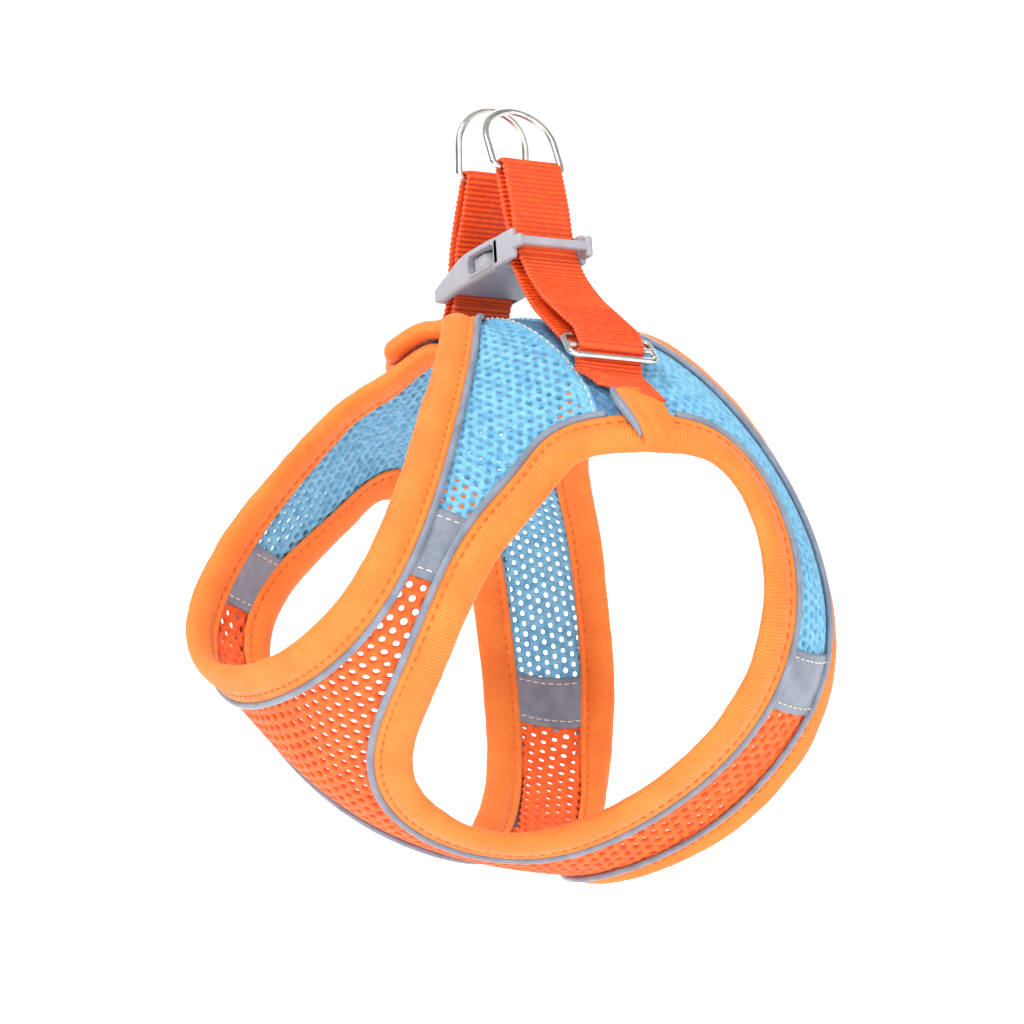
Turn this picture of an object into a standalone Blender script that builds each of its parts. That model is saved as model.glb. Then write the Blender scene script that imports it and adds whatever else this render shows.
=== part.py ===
"""Step-in vest harness for a small dog: a mesh vest with bound edges, back straps, D-rings and a buckle.

Metres, Z up, the dog's head towards -Y and its left side towards +X.
The origin is the middle of the torso opening.
"""

import math

import bmesh
import bpy
import numpy as np
from mathutils import Matrix, Vector

MM = 0.001
PI = math.pi

# The vest lies on a surface through four rings, from the neck edge (s = 0) to the rear edge (s = 1).
# t runs from 0 at the spine to pi at the breastbone. All lengths in this table are in millimetres.
RINGS = {
    "half_width": (50.0, 76.0, 75.0, 59.5),
    "low_width": (-13.5, 7.0, 18.0, 4.5),
    "y_middle": (-74.0, -36.0, 0.0, 39.5),
    "y_lean": (32.0, 29.5, 20.0, 3.0),
    "y_bow": (3.0, -20.5, -31.0, -16.5),
    "z_middle": (7.0, -16.5, -32.0, -34.0),
    "z_half": (52.0, 63.5, 76.0, 80.5),
    "z_bow": (-0.5, 12.0, 16.0, 11.0),
}
# The leg hole on that surface: its middle and its first waves, as (cos s, sin s, cos t, sin t).
LEG_MIDDLE = (0.421, 1.688)
LEG_WAVES = (
    (0.228, -0.146, -0.221, -0.853),
    (-0.071, -0.003, -0.150, 0.023),
    (-0.013, 0.048, 0.016, -0.011),
)

BINDING_WIDTH = 10.4 * MM
BINDING_HALF = 2.5 * MM
MESH_HALF = 1.4 * MM
PIPING_R = 0.8 * MM
GAP = 0.3 * MM

# The back opening: the left flap lies over the right flap, and each ends this far past the spine.
BACK_T = 0.02
LEFT_FLAP_T = -0.28
LEFT_NECK_T = -0.45
FLAP_SLANT_Q = 0.3
FLAP_ROWS = 4
FLAP_DROP = 7.4 * MM
NECK_RAISE = 4.0 * MM
FLAP_BINDING_T = 0.17
STRAP_DIP = 3.0 * MM

BAND_FRONT_T = ((1.65, 1.69), (1.965, 2.01))
BAND_GIRTH_T = ((1.47, 1.47), (1.66, 1.66))
SEAM_YOKE_S = (0.27, 0.40)
SEAM_PATCH_S = (0.44, 0.56)

STRAP_HALF_WIDTH = 10.0 * MM
WEB_HALF = 0.65 * MM
STRAP_Y = -14.6 * MM
RING_BAR_X = 11.0 * MM
RING_BAR_Z = 105.6 * MM
RING_WIRE_R = 1.1 * MM
RING_HALF_WIDTH = 11.6 * MM
RING_HEIGHT = 22.0 * MM
LEFT_RING_LEAN = -28.0
RIGHT_RING_LEAN = 2.0

# Strap runs in millimetres on the left side, mirrored for the right.
# Slot ends are (x, z) and the rest are (x, y, z).
STRAP_ENDS = {"left": ((18.0, 75.5), (22.9, 77.0)), "right": ((17.2, 69.0), (21.9, 69.0))}
INNER_RUN = {
    "left": ((40.0, -14.6, 54.5), (31.0, -14.4, 60.5), (23.5, -14.4, 68.0)),
    "right": ((39.5, -14.6, 55.5), (29.0, -14.4, 57.5), (21.0, -14.4, 62.5)),
}
OUTER_RUN = {
    "left": ((43.5, -14.5, 58.5), (35.0, -14.3, 64.0), (28.0, -14.2, 70.0)),
    "right": ((43.5, -14.5, 59.5), (34.0, -14.3, 61.5), (26.0, -14.4, 64.0)),
}
SLIDER_AT = (55.4, -13.3, 46.0)
SLIDER_OUT = (0.62, -0.08, 0.78)
SLIDER_ACROSS = (0.14, 0.98, -0.12)

BUCKLE_AT = (0.0, -14.6 * MM, 77.6 * MM)
BUCKLE_TILT = 7.5
BUCKLE_HALF_LENGTH = 27.5 * MM
SLOT_INNER = 14.5 * MM
SLOT_OUTER = 24.3 * MM
MOUTH_X = 11.0 * MM

COLOURS = {
    "blue": (0.20, 0.58, 0.83),
    "patch": (0.09, 0.22, 0.38),
    "orange_mesh": (1.0, 0.16, 0.02),
    "grey": (0.22, 0.27, 0.36),
    "binding": (0.93, 0.32, 0.06),
    "webbing": (1.0, 0.10, 0.01),
    "metal": (0.75, 0.74, 0.72),
    "plastic": (0.42, 0.42, 0.46),
    "hook": (0.08, 0.18, 0.35),
}


def smooth(x):
    x = np.clip(x, 0.0, 1.0)
    return x * x * (3.0 - 2.0 * x)


def ring_value(name, s):
    a, b, c, d = RINGS[name]
    w0 = (1 - s) * (1 - 3 * s) * (2 - 3 * s) / 2
    w1 = 9 * s * (1 - s) * (2 - 3 * s) / 2
    w2 = 9 * s * (1 - s) * (3 * s - 1) / 2
    w3 = s * (3 * s - 1) * (3 * s - 2) / 2
    return (w0 * a + w1 * b + w2 * c + w3 * d) * MM


def bare(s, t):
    """The surface on the left side, before any flap is raised or lowered."""
    x = ring_value("half_width", s) * np.sin(t) + ring_value("low_width", s) * np.sin(2 * t)
    once, twice = np.cos(t), np.cos(2 * t)
    y = ring_value("y_middle", s) + ring_value("y_lean", s) * once + ring_value("y_bow", s) * twice
    z = ring_value("z_middle", s) + ring_value("z_half", s) * once + ring_value("z_bow", s) * twice
    return np.stack([x, y, z], -1)


def slopes(s, t, h=1e-4):
    along_s = (bare(s + h, t) - bare(s - h, t)) / (2 * h)
    along_t = (bare(s, t + h) - bare(s, t - h)) / (2 * h)
    return along_s, along_t


def normal(s, t):
    along_s, along_t = slopes(s, t)
    n = np.cross(along_t, along_s)
    return n / np.linalg.norm(n, axis=-1, keepdims=True)


def lift(side, s, t):
    """How far a flap stands off the surface near the spine."""
    over = NECK_RAISE * (1 - smooth(s / 0.25))
    dip = STRAP_DIP * np.exp(-(((s - 0.5) / 0.17) ** 2) - ((t - 0.52) / 0.2) ** 2)
    if side > 0:
        return over * (1 - smooth((t - 0.30) / 0.5)) - dip
    return (over - FLAP_DROP) * (1 - smooth((t - 0.64) / 0.38)) - dip


def shell(side, s, t, out=0.0):
    """A point of the vest on one side (1 left, -1 right), moved outwards by out."""
    s, t = np.asarray(s, float), np.asarray(t, float)
    n = normal(s, t)
    p = bare(s, t) + n * (lift(side, s, t) + out)[..., None]
    flip = np.array([side, 1, 1])
    return p * flip, n * flip


def edge_s(t, rear):
    """Where the mesh begins beside the neck or rear binding."""
    inward = np.linspace(0.0, 0.3, 61)
    s = 1 - inward if rear else inward
    start = bare(np.array(1.0 if rear else 0.0), t)
    far = np.linalg.norm(bare(s, np.full_like(s, t)) - start, axis=-1)
    return float(np.interp(BINDING_WIDTH, far, s))


def leg_edge(count=720):
    """The leg hole's free edge and its mesh edge, as (s, t) pairs around the hole."""
    f = np.arange(count) / count * 2 * PI
    s, t = LEG_MIDDLE[0] + 0 * f, LEG_MIDDLE[1] + 0 * f
    for k, (cs, ss, ct, st) in enumerate(LEG_WAVES, 1):
        s = s + cs * np.cos(k * f) + ss * np.sin(k * f)
        t = t + ct * np.cos(k * f) + st * np.sin(k * f)
    free = np.stack([s, t], -1)
    for _ in range(2):
        along_s, along_t = slopes(s, t)
        turn_s, turn_t = np.roll(s, -1) - np.roll(s, 1), np.roll(t, -1) - np.roll(t, 1)
        path = along_s * turn_s[:, None] + along_t * turn_t[:, None]
        out = np.cross(path, np.cross(along_t, along_s))
        out /= np.linalg.norm(out, axis=1)[:, None]
        a, b, c = (along_s**2).sum(1), (along_s * along_t).sum(1), (along_t**2).sum(1)
        e, g = (along_s * out).sum(1), (along_t * out).sum(1)
        step = BINDING_WIDTH / 2 / (a * c - b * b)
        ds, dt = (c * e - b * g) * step, (a * g - b * e) * step
        away = np.sign(((s - LEG_MIDDLE[0]) * ds + (t - LEG_MIDDLE[1]) * dt).sum())
        s, t = s + away * ds, t + away * dt
    return free, np.stack([s, t], -1)


LEG_FREE, LEG_MESH = leg_edge()


def leg_at(position):
    """The free and mesh points at a position around the leg hole, from 0 to 1."""
    i = position % 1.0 * len(LEG_FREE)
    k, f = int(i), i - int(i)
    n = len(LEG_FREE)
    free = LEG_FREE[k % n] * (1 - f) + LEG_FREE[(k + 1) % n] * f
    mesh = LEG_MESH[k % n] * (1 - f) + LEG_MESH[(k + 1) % n] * f
    return free, mesh


def leg_position(value, axis, front=None, top=None):
    """The position where the leg's mesh edge has a given s (axis 0) or t (axis 1)."""
    keep = np.ones(len(LEG_MESH), bool)
    if front is not None:
        keep &= (LEG_MESH[:, 0] < LEG_MIDDLE[0] + 0.03) == front
    if top is not None:
        keep &= (LEG_MESH[:, 1] < LEG_MIDDLE[1]) == top
    gap = np.abs(LEG_MESH[:, axis] - value)
    gap[~keep] = 9
    return int(gap.argmin()) / len(LEG_MESH)


def border(q, t):
    """A point of the mesh area: q is 0 at the neck binding and 1 at the rear binding."""
    near, far = edge_s(t, False), edge_s(t, True)
    return np.array([near + (far - near) * q, t])


def fan_stops():
    """The seams: each a position on the leg hole and the (q, t) that it runs to on the outer border."""
    top = BACK_T
    (f0, f1), (f2, f3) = BAND_FRONT_T
    (g0, g1), (g2, g3) = BAND_GIRTH_T
    near, far = edge_s(top, False), edge_s(top, True)
    top_q = [(s - near) / (far - near) for s in (SEAM_YOKE_S[1], SEAM_PATCH_S[1])]
    return {
        "yoke_seam": (leg_position(SEAM_YOKE_S[0], 0, top=True), (top_q[0], top)),
        "neck_top": (leg_position(1.00, 1, front=True), (0.0, top)),
        "front_upper": (leg_position(f0, 1, front=True), (0.0, f1)),
        "front_lower": (leg_position(f2, 1, front=True), (0.0, f3)),
        "neck_bottom": (leg_position(2.55, 1, front=True), (0.0, PI)),
        "rear_bottom": (leg_position(0.76, 0, front=False, top=False), (1.0, PI)),
        "girth_lower": (leg_position(g2, 1, front=False), (1.0, g3)),
        "girth_upper": (leg_position(g0, 1, front=False), (1.0, g1)),
        "rear_top": (leg_position(0.95, 1, front=False), (1.0, top)),
        "patch_seam": (leg_position(SEAM_PATCH_S[0], 0, top=True), (top_q[1], top)),
    }


def fan_columns(start, end, counts, trim=(0.0, 0.0)):
    """Columns from the leg hole to the outer border between two seams."""
    stops = fan_stops()
    names = list(stops)
    i, j = names.index(start), names.index(end)
    chain = [stops[n] for n in (names[i : j + 1] if j > i else names[i:] + names[: j + 1])]
    columns = []
    for (a, (qa, ta)), (b, (qb, tb)), n in zip(chain, chain[1:], counts):
        step = (b - a + 0.5) % 1.0 - 0.5
        for k in range(n):
            f = k / n
            columns.append((a + step * f, qa + (qb - qa) * f, ta + (tb - ta) * f))
    columns.append((chain[-1][0], *chain[-1][1]))
    for k, sign in ((0, 1), (-1, -1)):
        p, q, t = columns[k]
        p2, q2, t2 = columns[k + sign]
        share = trim[0 if k == 0 else 1]
        step = (p2 - p + 0.5) % 1.0 - 0.5
        columns[k] = (p + step * share, q + (q2 - q) * share, t + (t2 - t) * share)
    return columns


def flap_spots(side, q):
    """Where a line of constant q runs on over the back, past the middle, to the flap's end."""
    top = np.interp(q, (0.0, FLAP_SLANT_Q), (LEFT_NECK_T, LEFT_FLAP_T)) if side > 0 else BACK_T
    return [float(t) for t in np.linspace(BACK_T, top, FLAP_ROWS + 1 if side > 0 else 1)]


def fan_sheet(side, columns, rows):
    """Points and quads of the sheet spanned by the columns, and of its part of the left flap."""
    points, normals, quads = [], [], []
    for p, q, t in columns:
        inner, outer = leg_at(p)[1], border(q, t)
        for r in range(rows + 1):
            at = inner + (outer - inner) * r / rows
            point, n = shell(side, at[0], at[1])
            points.append(point)
            normals.append(n)
    for c in range(len(columns) - 1):
        for r in range(rows):
            a = c * (rows + 1) + r
            quads.append((a, a + 1, a + rows + 2, a + rows + 1))
    flap = [q for _, q, t in columns if side > 0 and abs(t - BACK_T) < 1e-9]
    base = len(points)
    for q in flap:
        for t in flap_spots(side, q):
            point, n = shell(side, *border(q, t))
            points.append(point)
            normals.append(n)
    for c in range(len(flap) - 1):
        for r in range(FLAP_ROWS):
            a = base + c * (FLAP_ROWS + 1) + r
            quads.append((a, a + 1, a + FLAP_ROWS + 2, a + FLAP_ROWS + 1))
    return points, normals, quads


def new_object(name, verts, faces, colour, round_shade=True, matrix=None):
    mesh = bpy.data.meshes.new(name)
    mesh.from_pydata([tuple(v) for v in verts], [], faces)
    work = bmesh.new()
    work.from_mesh(mesh)
    bmesh.ops.remove_doubles(work, verts=work.verts, dist=1e-6)
    bmesh.ops.recalc_face_normals(work, faces=work.faces)
    if work.calc_volume(signed=True) < 0:
        bmesh.ops.reverse_faces(work, faces=work.faces)
    work.to_mesh(mesh)
    work.free()
    for polygon in mesh.polygons:
        polygon.use_smooth = round_shade
    ob = bpy.data.objects.new(name, mesh)
    bpy.context.collection.objects.link(ob)
    material = bpy.data.materials.new(name + "_material")
    material.use_nodes = True
    shader = material.node_tree.nodes["Principled BSDF"]
    shader.inputs["Base Color"].default_value = (*COLOURS[colour], 1.0)
    shader.inputs["Metallic"].default_value = 1.0 if colour == "metal" else 0.0
    shader.inputs["Roughness"].default_value = 0.25 if colour == "metal" else 0.6
    mesh.materials.append(material)
    if matrix is not None:
        ob.matrix_world = matrix
    return ob


def slab(name, points, normals, quads, half, colour):
    """A closed plate of even thickness from a sheet."""
    index, keep, ns = {}, [], []
    remap = []
    for p, n in zip(points, normals):
        key = tuple(np.round(p, 7))
        if key not in index:
            index[key] = len(keep)
            keep.append(np.array(p))
            ns.append(np.array(n))
        remap.append(index[key])
    quads = [tuple(remap[i] for i in f) for f in quads]
    quads = [tuple(dict.fromkeys(f)) for f in quads]
    count = len(keep)
    verts = [p + n * half for p, n in zip(keep, ns)] + [p - n * half for p, n in zip(keep, ns)]
    faces = list(quads) + [tuple(i + count for i in reversed(f)) for f in quads]
    used = {}
    for f in quads:
        for a, b in zip(f, f[1:] + f[:1]):
            used[(a, b)] = used.get((a, b), 0) + 1
    for a, b in used:
        if (b, a) not in used:
            faces.append((b, a, a + count, b + count))
    return new_object(name, verts, faces, colour)


def sweep(name, frames, profile, colour, closed, scale=None, round_shade=True):
    """A solid along frames of (point, across, up), with the profile's (x, y) laid on across and up."""
    verts, faces, m = [], [], len(profile)
    for k, (p, across, up) in enumerate(frames):
        size = 1.0 if scale is None else scale[k]
        verts += [p + across * x + up * y * size for x, y in profile]
    n = len(frames)
    for k in range(n if closed else n - 1):
        a, b = k * m, (k + 1) % n * m
        faces += [(a + i, a + (i + 1) % m, b + (i + 1) % m, b + i) for i in range(m)]
    if not closed:
        faces += [tuple(range(m)), tuple(range((n - 1) * m, n * m))]
    return new_object(name, verts, faces, colour, round_shade)


def edge_frame(side, mesh_at, free_at):
    """The frame of a binding: at the mesh edge, pointing to the free edge."""
    m, n = shell(side, *mesh_at)
    f, _ = shell(side, *free_at)
    across = f - m
    across = across - n * across.dot(n)
    return m, across / np.linalg.norm(across), n


def binding_profile():
    w, h = BINDING_WIDTH, BINDING_HALF
    upper = [(3 * GAP, 0.42 * h), (0.25 * w, 0.85 * h), (0.58 * w, h), (0.86 * w, 0.8 * h), (w, 0.25 * h)]
    return upper + [(x, -y) for x, y in reversed(upper)]


def piping_profile():
    x0, y0 = -1.0 * MM, MESH_HALF + GAP + PIPING_R
    return [(x0 + PIPING_R * math.cos(a), y0 + PIPING_R * math.sin(a)) for a in np.arange(6) * PI / 3]


def rim_frames(rear):
    """Frames of the neck or rear binding from the left flap's end, round the chest, to the right flap's."""
    frames = []
    q = 1.0 if rear else 0.0
    for side in (1, -1):
        spots = flap_spots(side, q)
        top = spots[-1]
        ts = spots + [t for _, cq, t in rim_columns() if abs(cq - q) < 1e-9]
        ts = sorted(set(np.round(ts, 9)))
        ts = [top - FLAP_BINDING_T, top - FLAP_BINDING_T / 2] + ts
        part = [edge_frame(side, (edge_s(t, rear), t), (q, t)) for t in ts]
        frames += part if side > 0 else part[::-1][1:]
    return frames


def rim_columns():
    """All columns of one side, which reach the outer border."""
    columns = []
    for start, end, counts in PANEL_SPANS.values():
        columns += fan_columns(start, end, counts)
    return columns


PANEL_SPANS = {
    "yoke": ("yoke_seam", "front_upper", (3, 12)),
    "front_band": ("front_upper", "front_lower", (3,)),
    "chest": ("front_lower", "girth_lower", (9, 8, 10)),
    "girth_band": ("girth_lower", "girth_upper", (2,)),
    "girth": ("girth_upper", "patch_seam", (10, 4)),
    "patch": ("patch_seam", "yoke_seam", (2,)),
}


def build_panels():
    for side, label in ((1, "left"), (-1, "right")):
        for kind, colour, rows, name in (
            ("yoke", "blue", 6, "yoke_panel"),
            ("front_band", "grey", 2, "front_band"),
            ("girth_band", "grey", 2, "girth_band"),
            ("girth", "blue", 6, "girth_panel"),
            ("patch", "patch", 8, "back_patch"),
        ):
            start, end, counts = PANEL_SPANS[kind]
            trim = (0.04, 0.04) if "band" in kind else (0.08, 0.12)
            columns = fan_columns(start, end, counts, trim)
            slab(f"{label}_{name}", *fan_sheet(side, columns, rows), MESH_HALF, colour)
    points, normals, quads = [], [], []
    for side in (1, -1):
        start, end, counts = PANEL_SPANS["chest"]
        p, n, f = fan_sheet(side, fan_columns(start, end, counts, (0.05, 0.05)), 5)
        base = len(points)
        points, normals = points + p, normals + n
        quads += [tuple(i + base for i in (q if side > 0 else q[::-1])) for q in f]
    for k, p in enumerate(points):
        if abs(p[0]) < 1e-6:
            points[k] = np.array([0.0, p[1], p[2]])
            normals[k] = normals[k] * np.array([0, 1, 1]) / np.linalg.norm(normals[k][1:])
    slab("chest_panel", points, normals, quads, MESH_HALF, "orange_mesh")


def leg_frames(side, start=0.0, end=1.0):
    """Frames round a leg hole at the panels' own columns, between two positions."""
    spots = sorted({round(p % 1.0, 9) for p, _, _ in rim_columns()})
    span = (end - start) % 1.0 or 1.0
    if span < 1.0:
        inside = sorted((p - start) % 1.0 for p in spots if 0.003 < (p - start) % 1.0 < span - 0.003)
        spots = [start] + [start + p for p in inside] + [end]
    frames = []
    for p in spots:
        free, mesh = leg_at(p)
        frames.append(edge_frame(side, mesh, free))
    return frames


def build_bindings():
    sweep("neck_binding", rim_frames(False), binding_profile(), "binding", False)
    sweep("rear_binding", rim_frames(True), binding_profile(), "binding", False)
    sweep("neck_piping", rim_frames(False)[2:-2], piping_profile(), "grey", False)
    sweep("rear_piping", rim_frames(True)[2:-2], piping_profile(), "grey", False)
    wrap_from, wrap_to = leg_position(0.29, 0, top=True), leg_position(0.50, 0, top=True)
    for side, label in ((1, "left"), (-1, "right")):
        sweep(f"{label}_leg_binding", leg_frames(side), binding_profile(), "binding", True)
        frames = leg_frames(side, wrap_from, wrap_to)
        sweep(f"{label}_leg_piping", frames, piping_profile(), "grey", False)
        build_flap_edge(side, label)
        build_wrap(side, label)


def build_flap_edge(side, label):
    """The bound end of one back flap, between the neck and rear bindings."""
    frames = []
    for q in np.linspace(0.0, 1.0, 13):
        top = flap_spots(side, q)[-1]
        s = border(q, top)[0]
        point, n = shell(side, s, top)
        ahead, _ = shell(side, s, top - FLAP_BINDING_T)
        across = ahead - point
        across -= n * across.dot(n)
        frames.append((point, across / np.linalg.norm(across), n))
    run = np.cumsum([0] + [np.linalg.norm(b[0] - a[0]) for a, b in zip(frames, frames[1:])])
    clear = 1.2 * MM
    first, last = frames[0], frames[-1]
    ahead = (frames[1][0] - first[0]) / run[1]
    behind = (frames[-2][0] - last[0]) / (run[-1] - run[-2])
    frames[0] = (first[0] + ahead * clear, first[1], first[2])
    frames[-1] = (last[0] + behind * clear, last[1], last[2])
    sweep(f"{label}_flap_binding", frames, binding_profile(), "binding", False)


def build_wrap(side, label):
    """The short bound edge that crosses over the leg binding below the strap, with its piping."""
    frames, scale, cords = [], [], []
    for f in np.linspace(0.0, 1.0, 9):
        t = 0.775 + (0.955 - 0.775) * f
        rise = MESH_HALF + GAP + (0.9 + 2.3 * float(smooth(f * 1.8))) * MM
        s = 0.385 - 0.01 * f
        point, n = shell(side, s, t, rise)
        aside, _ = shell(side, s - 0.03, t, rise)
        across = aside - point
        across /= np.linalg.norm(across)
        frames.append((point, across, n))
        scale.append(0.5 + 0.5 * float(smooth(f * 2)))
        low = 0.7 + 1.6 * float(smooth((f - 0.1) * 1.8))
        cords.append((*edge_cord(side, s, t, low * MM), n))
    w, h = 4.6 * MM, 1.5 * MM
    profile = [(-w, -0.5 * h), (-w, 0.5 * h), (-0.5 * w, h), (0.5 * w, h)]
    profile += [(-x, -z) for x, z in profile]
    sweep(f"{label}_wrap_binding", frames, profile, "binding", False, scale)
    ring = [(0.9 * MM * math.cos(a), 0.9 * MM * math.sin(a)) for a in np.arange(6) * PI / 3]
    sweep(f"{label}_wrap_piping", cords, ring, "grey", False)


def edge_cord(side, s, t, extra):
    """Where the wrap's piping runs, beside the wrap and clear of the binding below it."""
    point, n = shell(side, s, t, MESH_HALF + GAP + 0.95 * MM + extra)
    aside, _ = shell(side, s - 0.03, t, MESH_HALF)
    across = aside - point
    across -= n * across.dot(n)
    across /= np.linalg.norm(across)
    return point + across * 5.9 * MM, across


def build_closure():
    """The loop strip under the left flap and the hook strip on the right flap."""
    half = 0.6 * MM
    off = MESH_HALF + 2 * GAP + half
    for name, side, out in (("loop_strip", 1, -off - GAP), ("hook_strip", -1, off)):
        points, normals, quads = [], [], []
        ss, ts = np.linspace(0.33, 0.75, 13), np.linspace(-0.21, -0.08, 5)
        for s in ss:
            for t in ts:
                at = t if side > 0 else -t
                point, n = shell(side, s, at, out)
                points.append(point)
                normals.append(n)
        for i in range(len(ss) - 1):
            for j in range(len(ts) - 1):
                a = i * len(ts) + j
                quads.append((a, a + 1, a + len(ts) + 1, a + len(ts)))
        slab(name, points, normals, quads, half, "hook")


def curve(points, count):
    """A smooth line through the points, evenly sampled per span."""
    ends = 2 * np.array(points[0]) - points[1], 2 * np.array(points[-1]) - points[-2]
    pts = [ends[0], *map(np.array, points), ends[1]]
    line = []
    for a, b, c, d in zip(pts, pts[1:], pts[2:], pts[3:]):
        for k in range(count):
            f = k / count
            line.append(
                b
                + 0.5 * (c - a) * f
                + (a - 2.5 * b + 2 * c - 0.5 * d) * f**2
                + (1.5 * b - 0.5 * a - 1.5 * c + 0.5 * d) * f**3
            )
    line.append(pts[-2])
    return line


def ribbon_frames(line, widths):
    """Frames of webbing along a line, with a given width direction at each point."""
    frames = []
    for k, p in enumerate(line):
        tangent = line[min(k + 1, len(line) - 1)] - line[max(k - 1, 0)]
        tangent /= np.linalg.norm(tangent)
        w = np.array(widths[k], float)
        w /= np.linalg.norm(w)
        out = np.cross(w, tangent)
        frames.append((p, w, out / np.linalg.norm(out)))
    return frames


def web_profile(half=WEB_HALF):
    w = STRAP_HALF_WIDTH
    return [(-w, -half), (-w, half), (w, half), (w, -half)]


def hand_of(side):
    return np.array([side, 1.0, 1.0])


def slider_frame(side):
    """The slider's matrix: X up along the strap, Y across it, Z outwards."""
    out = np.array(SLIDER_OUT) * hand_of(side)
    out /= np.linalg.norm(out)
    across = np.array(SLIDER_ACROSS) * hand_of(side)
    across -= out * across.dot(out)
    across /= np.linalg.norm(across)
    along = np.cross(across, out)
    if along[2] < 0:
        along, across = -along, -across
    centre = np.array(SLIDER_AT) * MM * hand_of(side)
    rows = [[along[i], across[i], out[i], centre[i]] for i in range(3)] + [[0, 0, 0, 1]]
    return Matrix(rows)


def top_loop(side, label):
    """Both layers from the buckle's slot up and over the D-ring's bar."""
    r = RING_WIRE_R + 0.35 * MM + WEB_HALF
    inner, outer = STRAP_ENDS[label]
    below = [inner, (16.2, 84.0), (12.2, 95.0)]
    above = [(17.0, 95.0), (20.0, 84.0), outer]
    fold = [(RING_BAR_X + r * math.cos(a), RING_BAR_Z + r * math.sin(a)) for a in np.linspace(PI, 0, 9)]
    spots = [(x * MM, z * MM) for x, z in below] + fold + [(x * MM, z * MM) for x, z in above]
    points = [np.array([x, STRAP_Y, z]) * hand_of(side) for x, z in spots]
    line = curve(points[:4], 3)[:-1] + points[3:11] + curve(points[11:], 3)
    frames = ribbon_frames(line, [(0, 1, 0)] * len(line))
    sweep(f"{label}_strap_top", frames, web_profile(), "webbing", False)
    return line


def blend_width(line, low, high):
    """Width directions that turn from low to high along the line."""
    run = np.linspace(0, 1, len(line))
    return [np.array(low) * (1 - smooth(f)) + np.array(high) * smooth(f) for f in run]


def short_of(point, towards, gap):
    return point + (towards - point) / np.linalg.norm(towards - point) * gap


def build_strap(side, label):
    top = top_loop(side, label)
    frame = slider_frame(side)
    across = np.array(frame.to_3x3() @ Vector((0, 1, 0)))
    under = np.array(frame @ Vector((0, 0, -2.55 * MM - GAP - WEB_HALF)))
    spots = ((0.41, 0.715, 3.3), (0.405, 0.67, 3.4), (0.40, 0.625, 3.6))
    seat = [shell(side, s, t, out * MM)[0] for s, t, out in spots]
    run = [np.array(p) * MM * hand_of(side) for p in INNER_RUN[label]]
    line = curve([*seat, under, *run, short_of(top[0], run[-1], 2 * GAP)], 4)
    low = shell(side, 0.44, 0.70)[0] - shell(side, 0.38, 0.70)[0]
    low *= np.sign(low.dot(across)) / np.linalg.norm(low)
    spin = np.sign(across[1])
    widths = blend_width(line[:13], low * spin, across * spin)
    widths += blend_width(line[13:], across * spin, (0, 1, 0))
    sweep(f"{label}_strap_inner", ribbon_frames(line, widths), web_profile(), "webbing", False)
    build_return(side, label, frame, top[-1], across * spin)
    build_slider(label, frame)


def build_return(side, label, frame, upper_end, across):
    """The outer layer: a sewn loop round the slider's middle bar, and the run from it up to the buckle."""
    r = 1.0 * MM + 0.25 * MM + WEB_HALF
    turn = [(r * math.cos(a), r * math.sin(a)) for a in np.linspace(0.5 * PI, 1.55 * PI, 12)]
    loop = [(6.2 * MM, r + 0.5 * MM), (3.2 * MM, r + 0.2 * MM), *turn]
    loop = [np.array(frame @ Vector((x, 0, z))) for x, z in loop]
    run = [np.array(p) * MM * hand_of(side) for p in OUTER_RUN[label]]
    line = curve([loop[0], *run, short_of(upper_end, run[-1], 2 * GAP)], 5)
    widths = blend_width(line, across, (0, 1, 0))
    low = [short_of(line[5], line[4], GAP), *line[4:0:-1], *loop]
    low_widths = widths[5:0:-1] + [across] * len(loop)
    sweep(f"{label}_return_loop", ribbon_frames(low, low_widths), web_profile(), "webbing", False)
    line = [short_of(line[5], line[6], GAP), *line[6:]]
    sweep(f"{label}_strap_outer", ribbon_frames(line, widths[5:]), web_profile(), "webbing", False)


def box(name, low, high):
    """A box between two corners, for joining and cutting."""
    corners = [(x, y, z) for x in (low[0], high[0]) for y in (low[1], high[1]) for z in (low[2], high[2])]
    faces = [(0, 1, 3, 2), (4, 6, 7, 5), (0, 4, 5, 1), (2, 3, 7, 6), (0, 2, 6, 4), (1, 5, 7, 3)]
    mesh = bpy.data.meshes.new(name)
    mesh.from_pydata([tuple(c) for c in corners], [], faces)
    work = bmesh.new()
    work.from_mesh(mesh)
    bmesh.ops.recalc_face_normals(work, faces=work.faces)
    work.to_mesh(mesh)
    work.free()
    ob = bpy.data.objects.new(name, mesh)
    bpy.context.collection.objects.link(ob)
    return ob


def bar(name, radius, half, sides=8):
    """A round bar along Y."""
    verts = [
        (radius * math.cos(a), y, radius * math.sin(a))
        for y in (-half, half)
        for a in np.arange(sides) * 2 * PI / sides
    ]
    faces = [(i, (i + 1) % sides, (i + 1) % sides + sides, i + sides) for i in range(sides)]
    faces += [tuple(range(sides)), tuple(range(sides, 2 * sides))]
    return new_object(name, verts, faces, "metal", False)


def combine(base, others, operation):
    """Joins or cuts with exact Booleans and drops the helper shapes."""
    for other in others:
        modifier = base.modifiers.new("step", "BOOLEAN")
        modifier.operation, modifier.solver, modifier.object = operation, "EXACT", other
        bpy.context.view_layer.update()
        result = bpy.data.meshes.new_from_object(base.evaluated_get(bpy.context.evaluated_depsgraph_get()))
        base.modifiers.clear()
        base.data = result
        bpy.data.objects.remove(other, do_unlink=True)
    return base


def bevel(base, width, segments=1):
    work = bmesh.new()
    work.from_mesh(base.data)
    edges = list(work.edges)
    bmesh.ops.bevel(work, geom=edges, offset=width, segments=segments, affect="EDGES", clamp_overlap=True)
    work.to_mesh(base.data)
    work.free()
    return base


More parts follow.
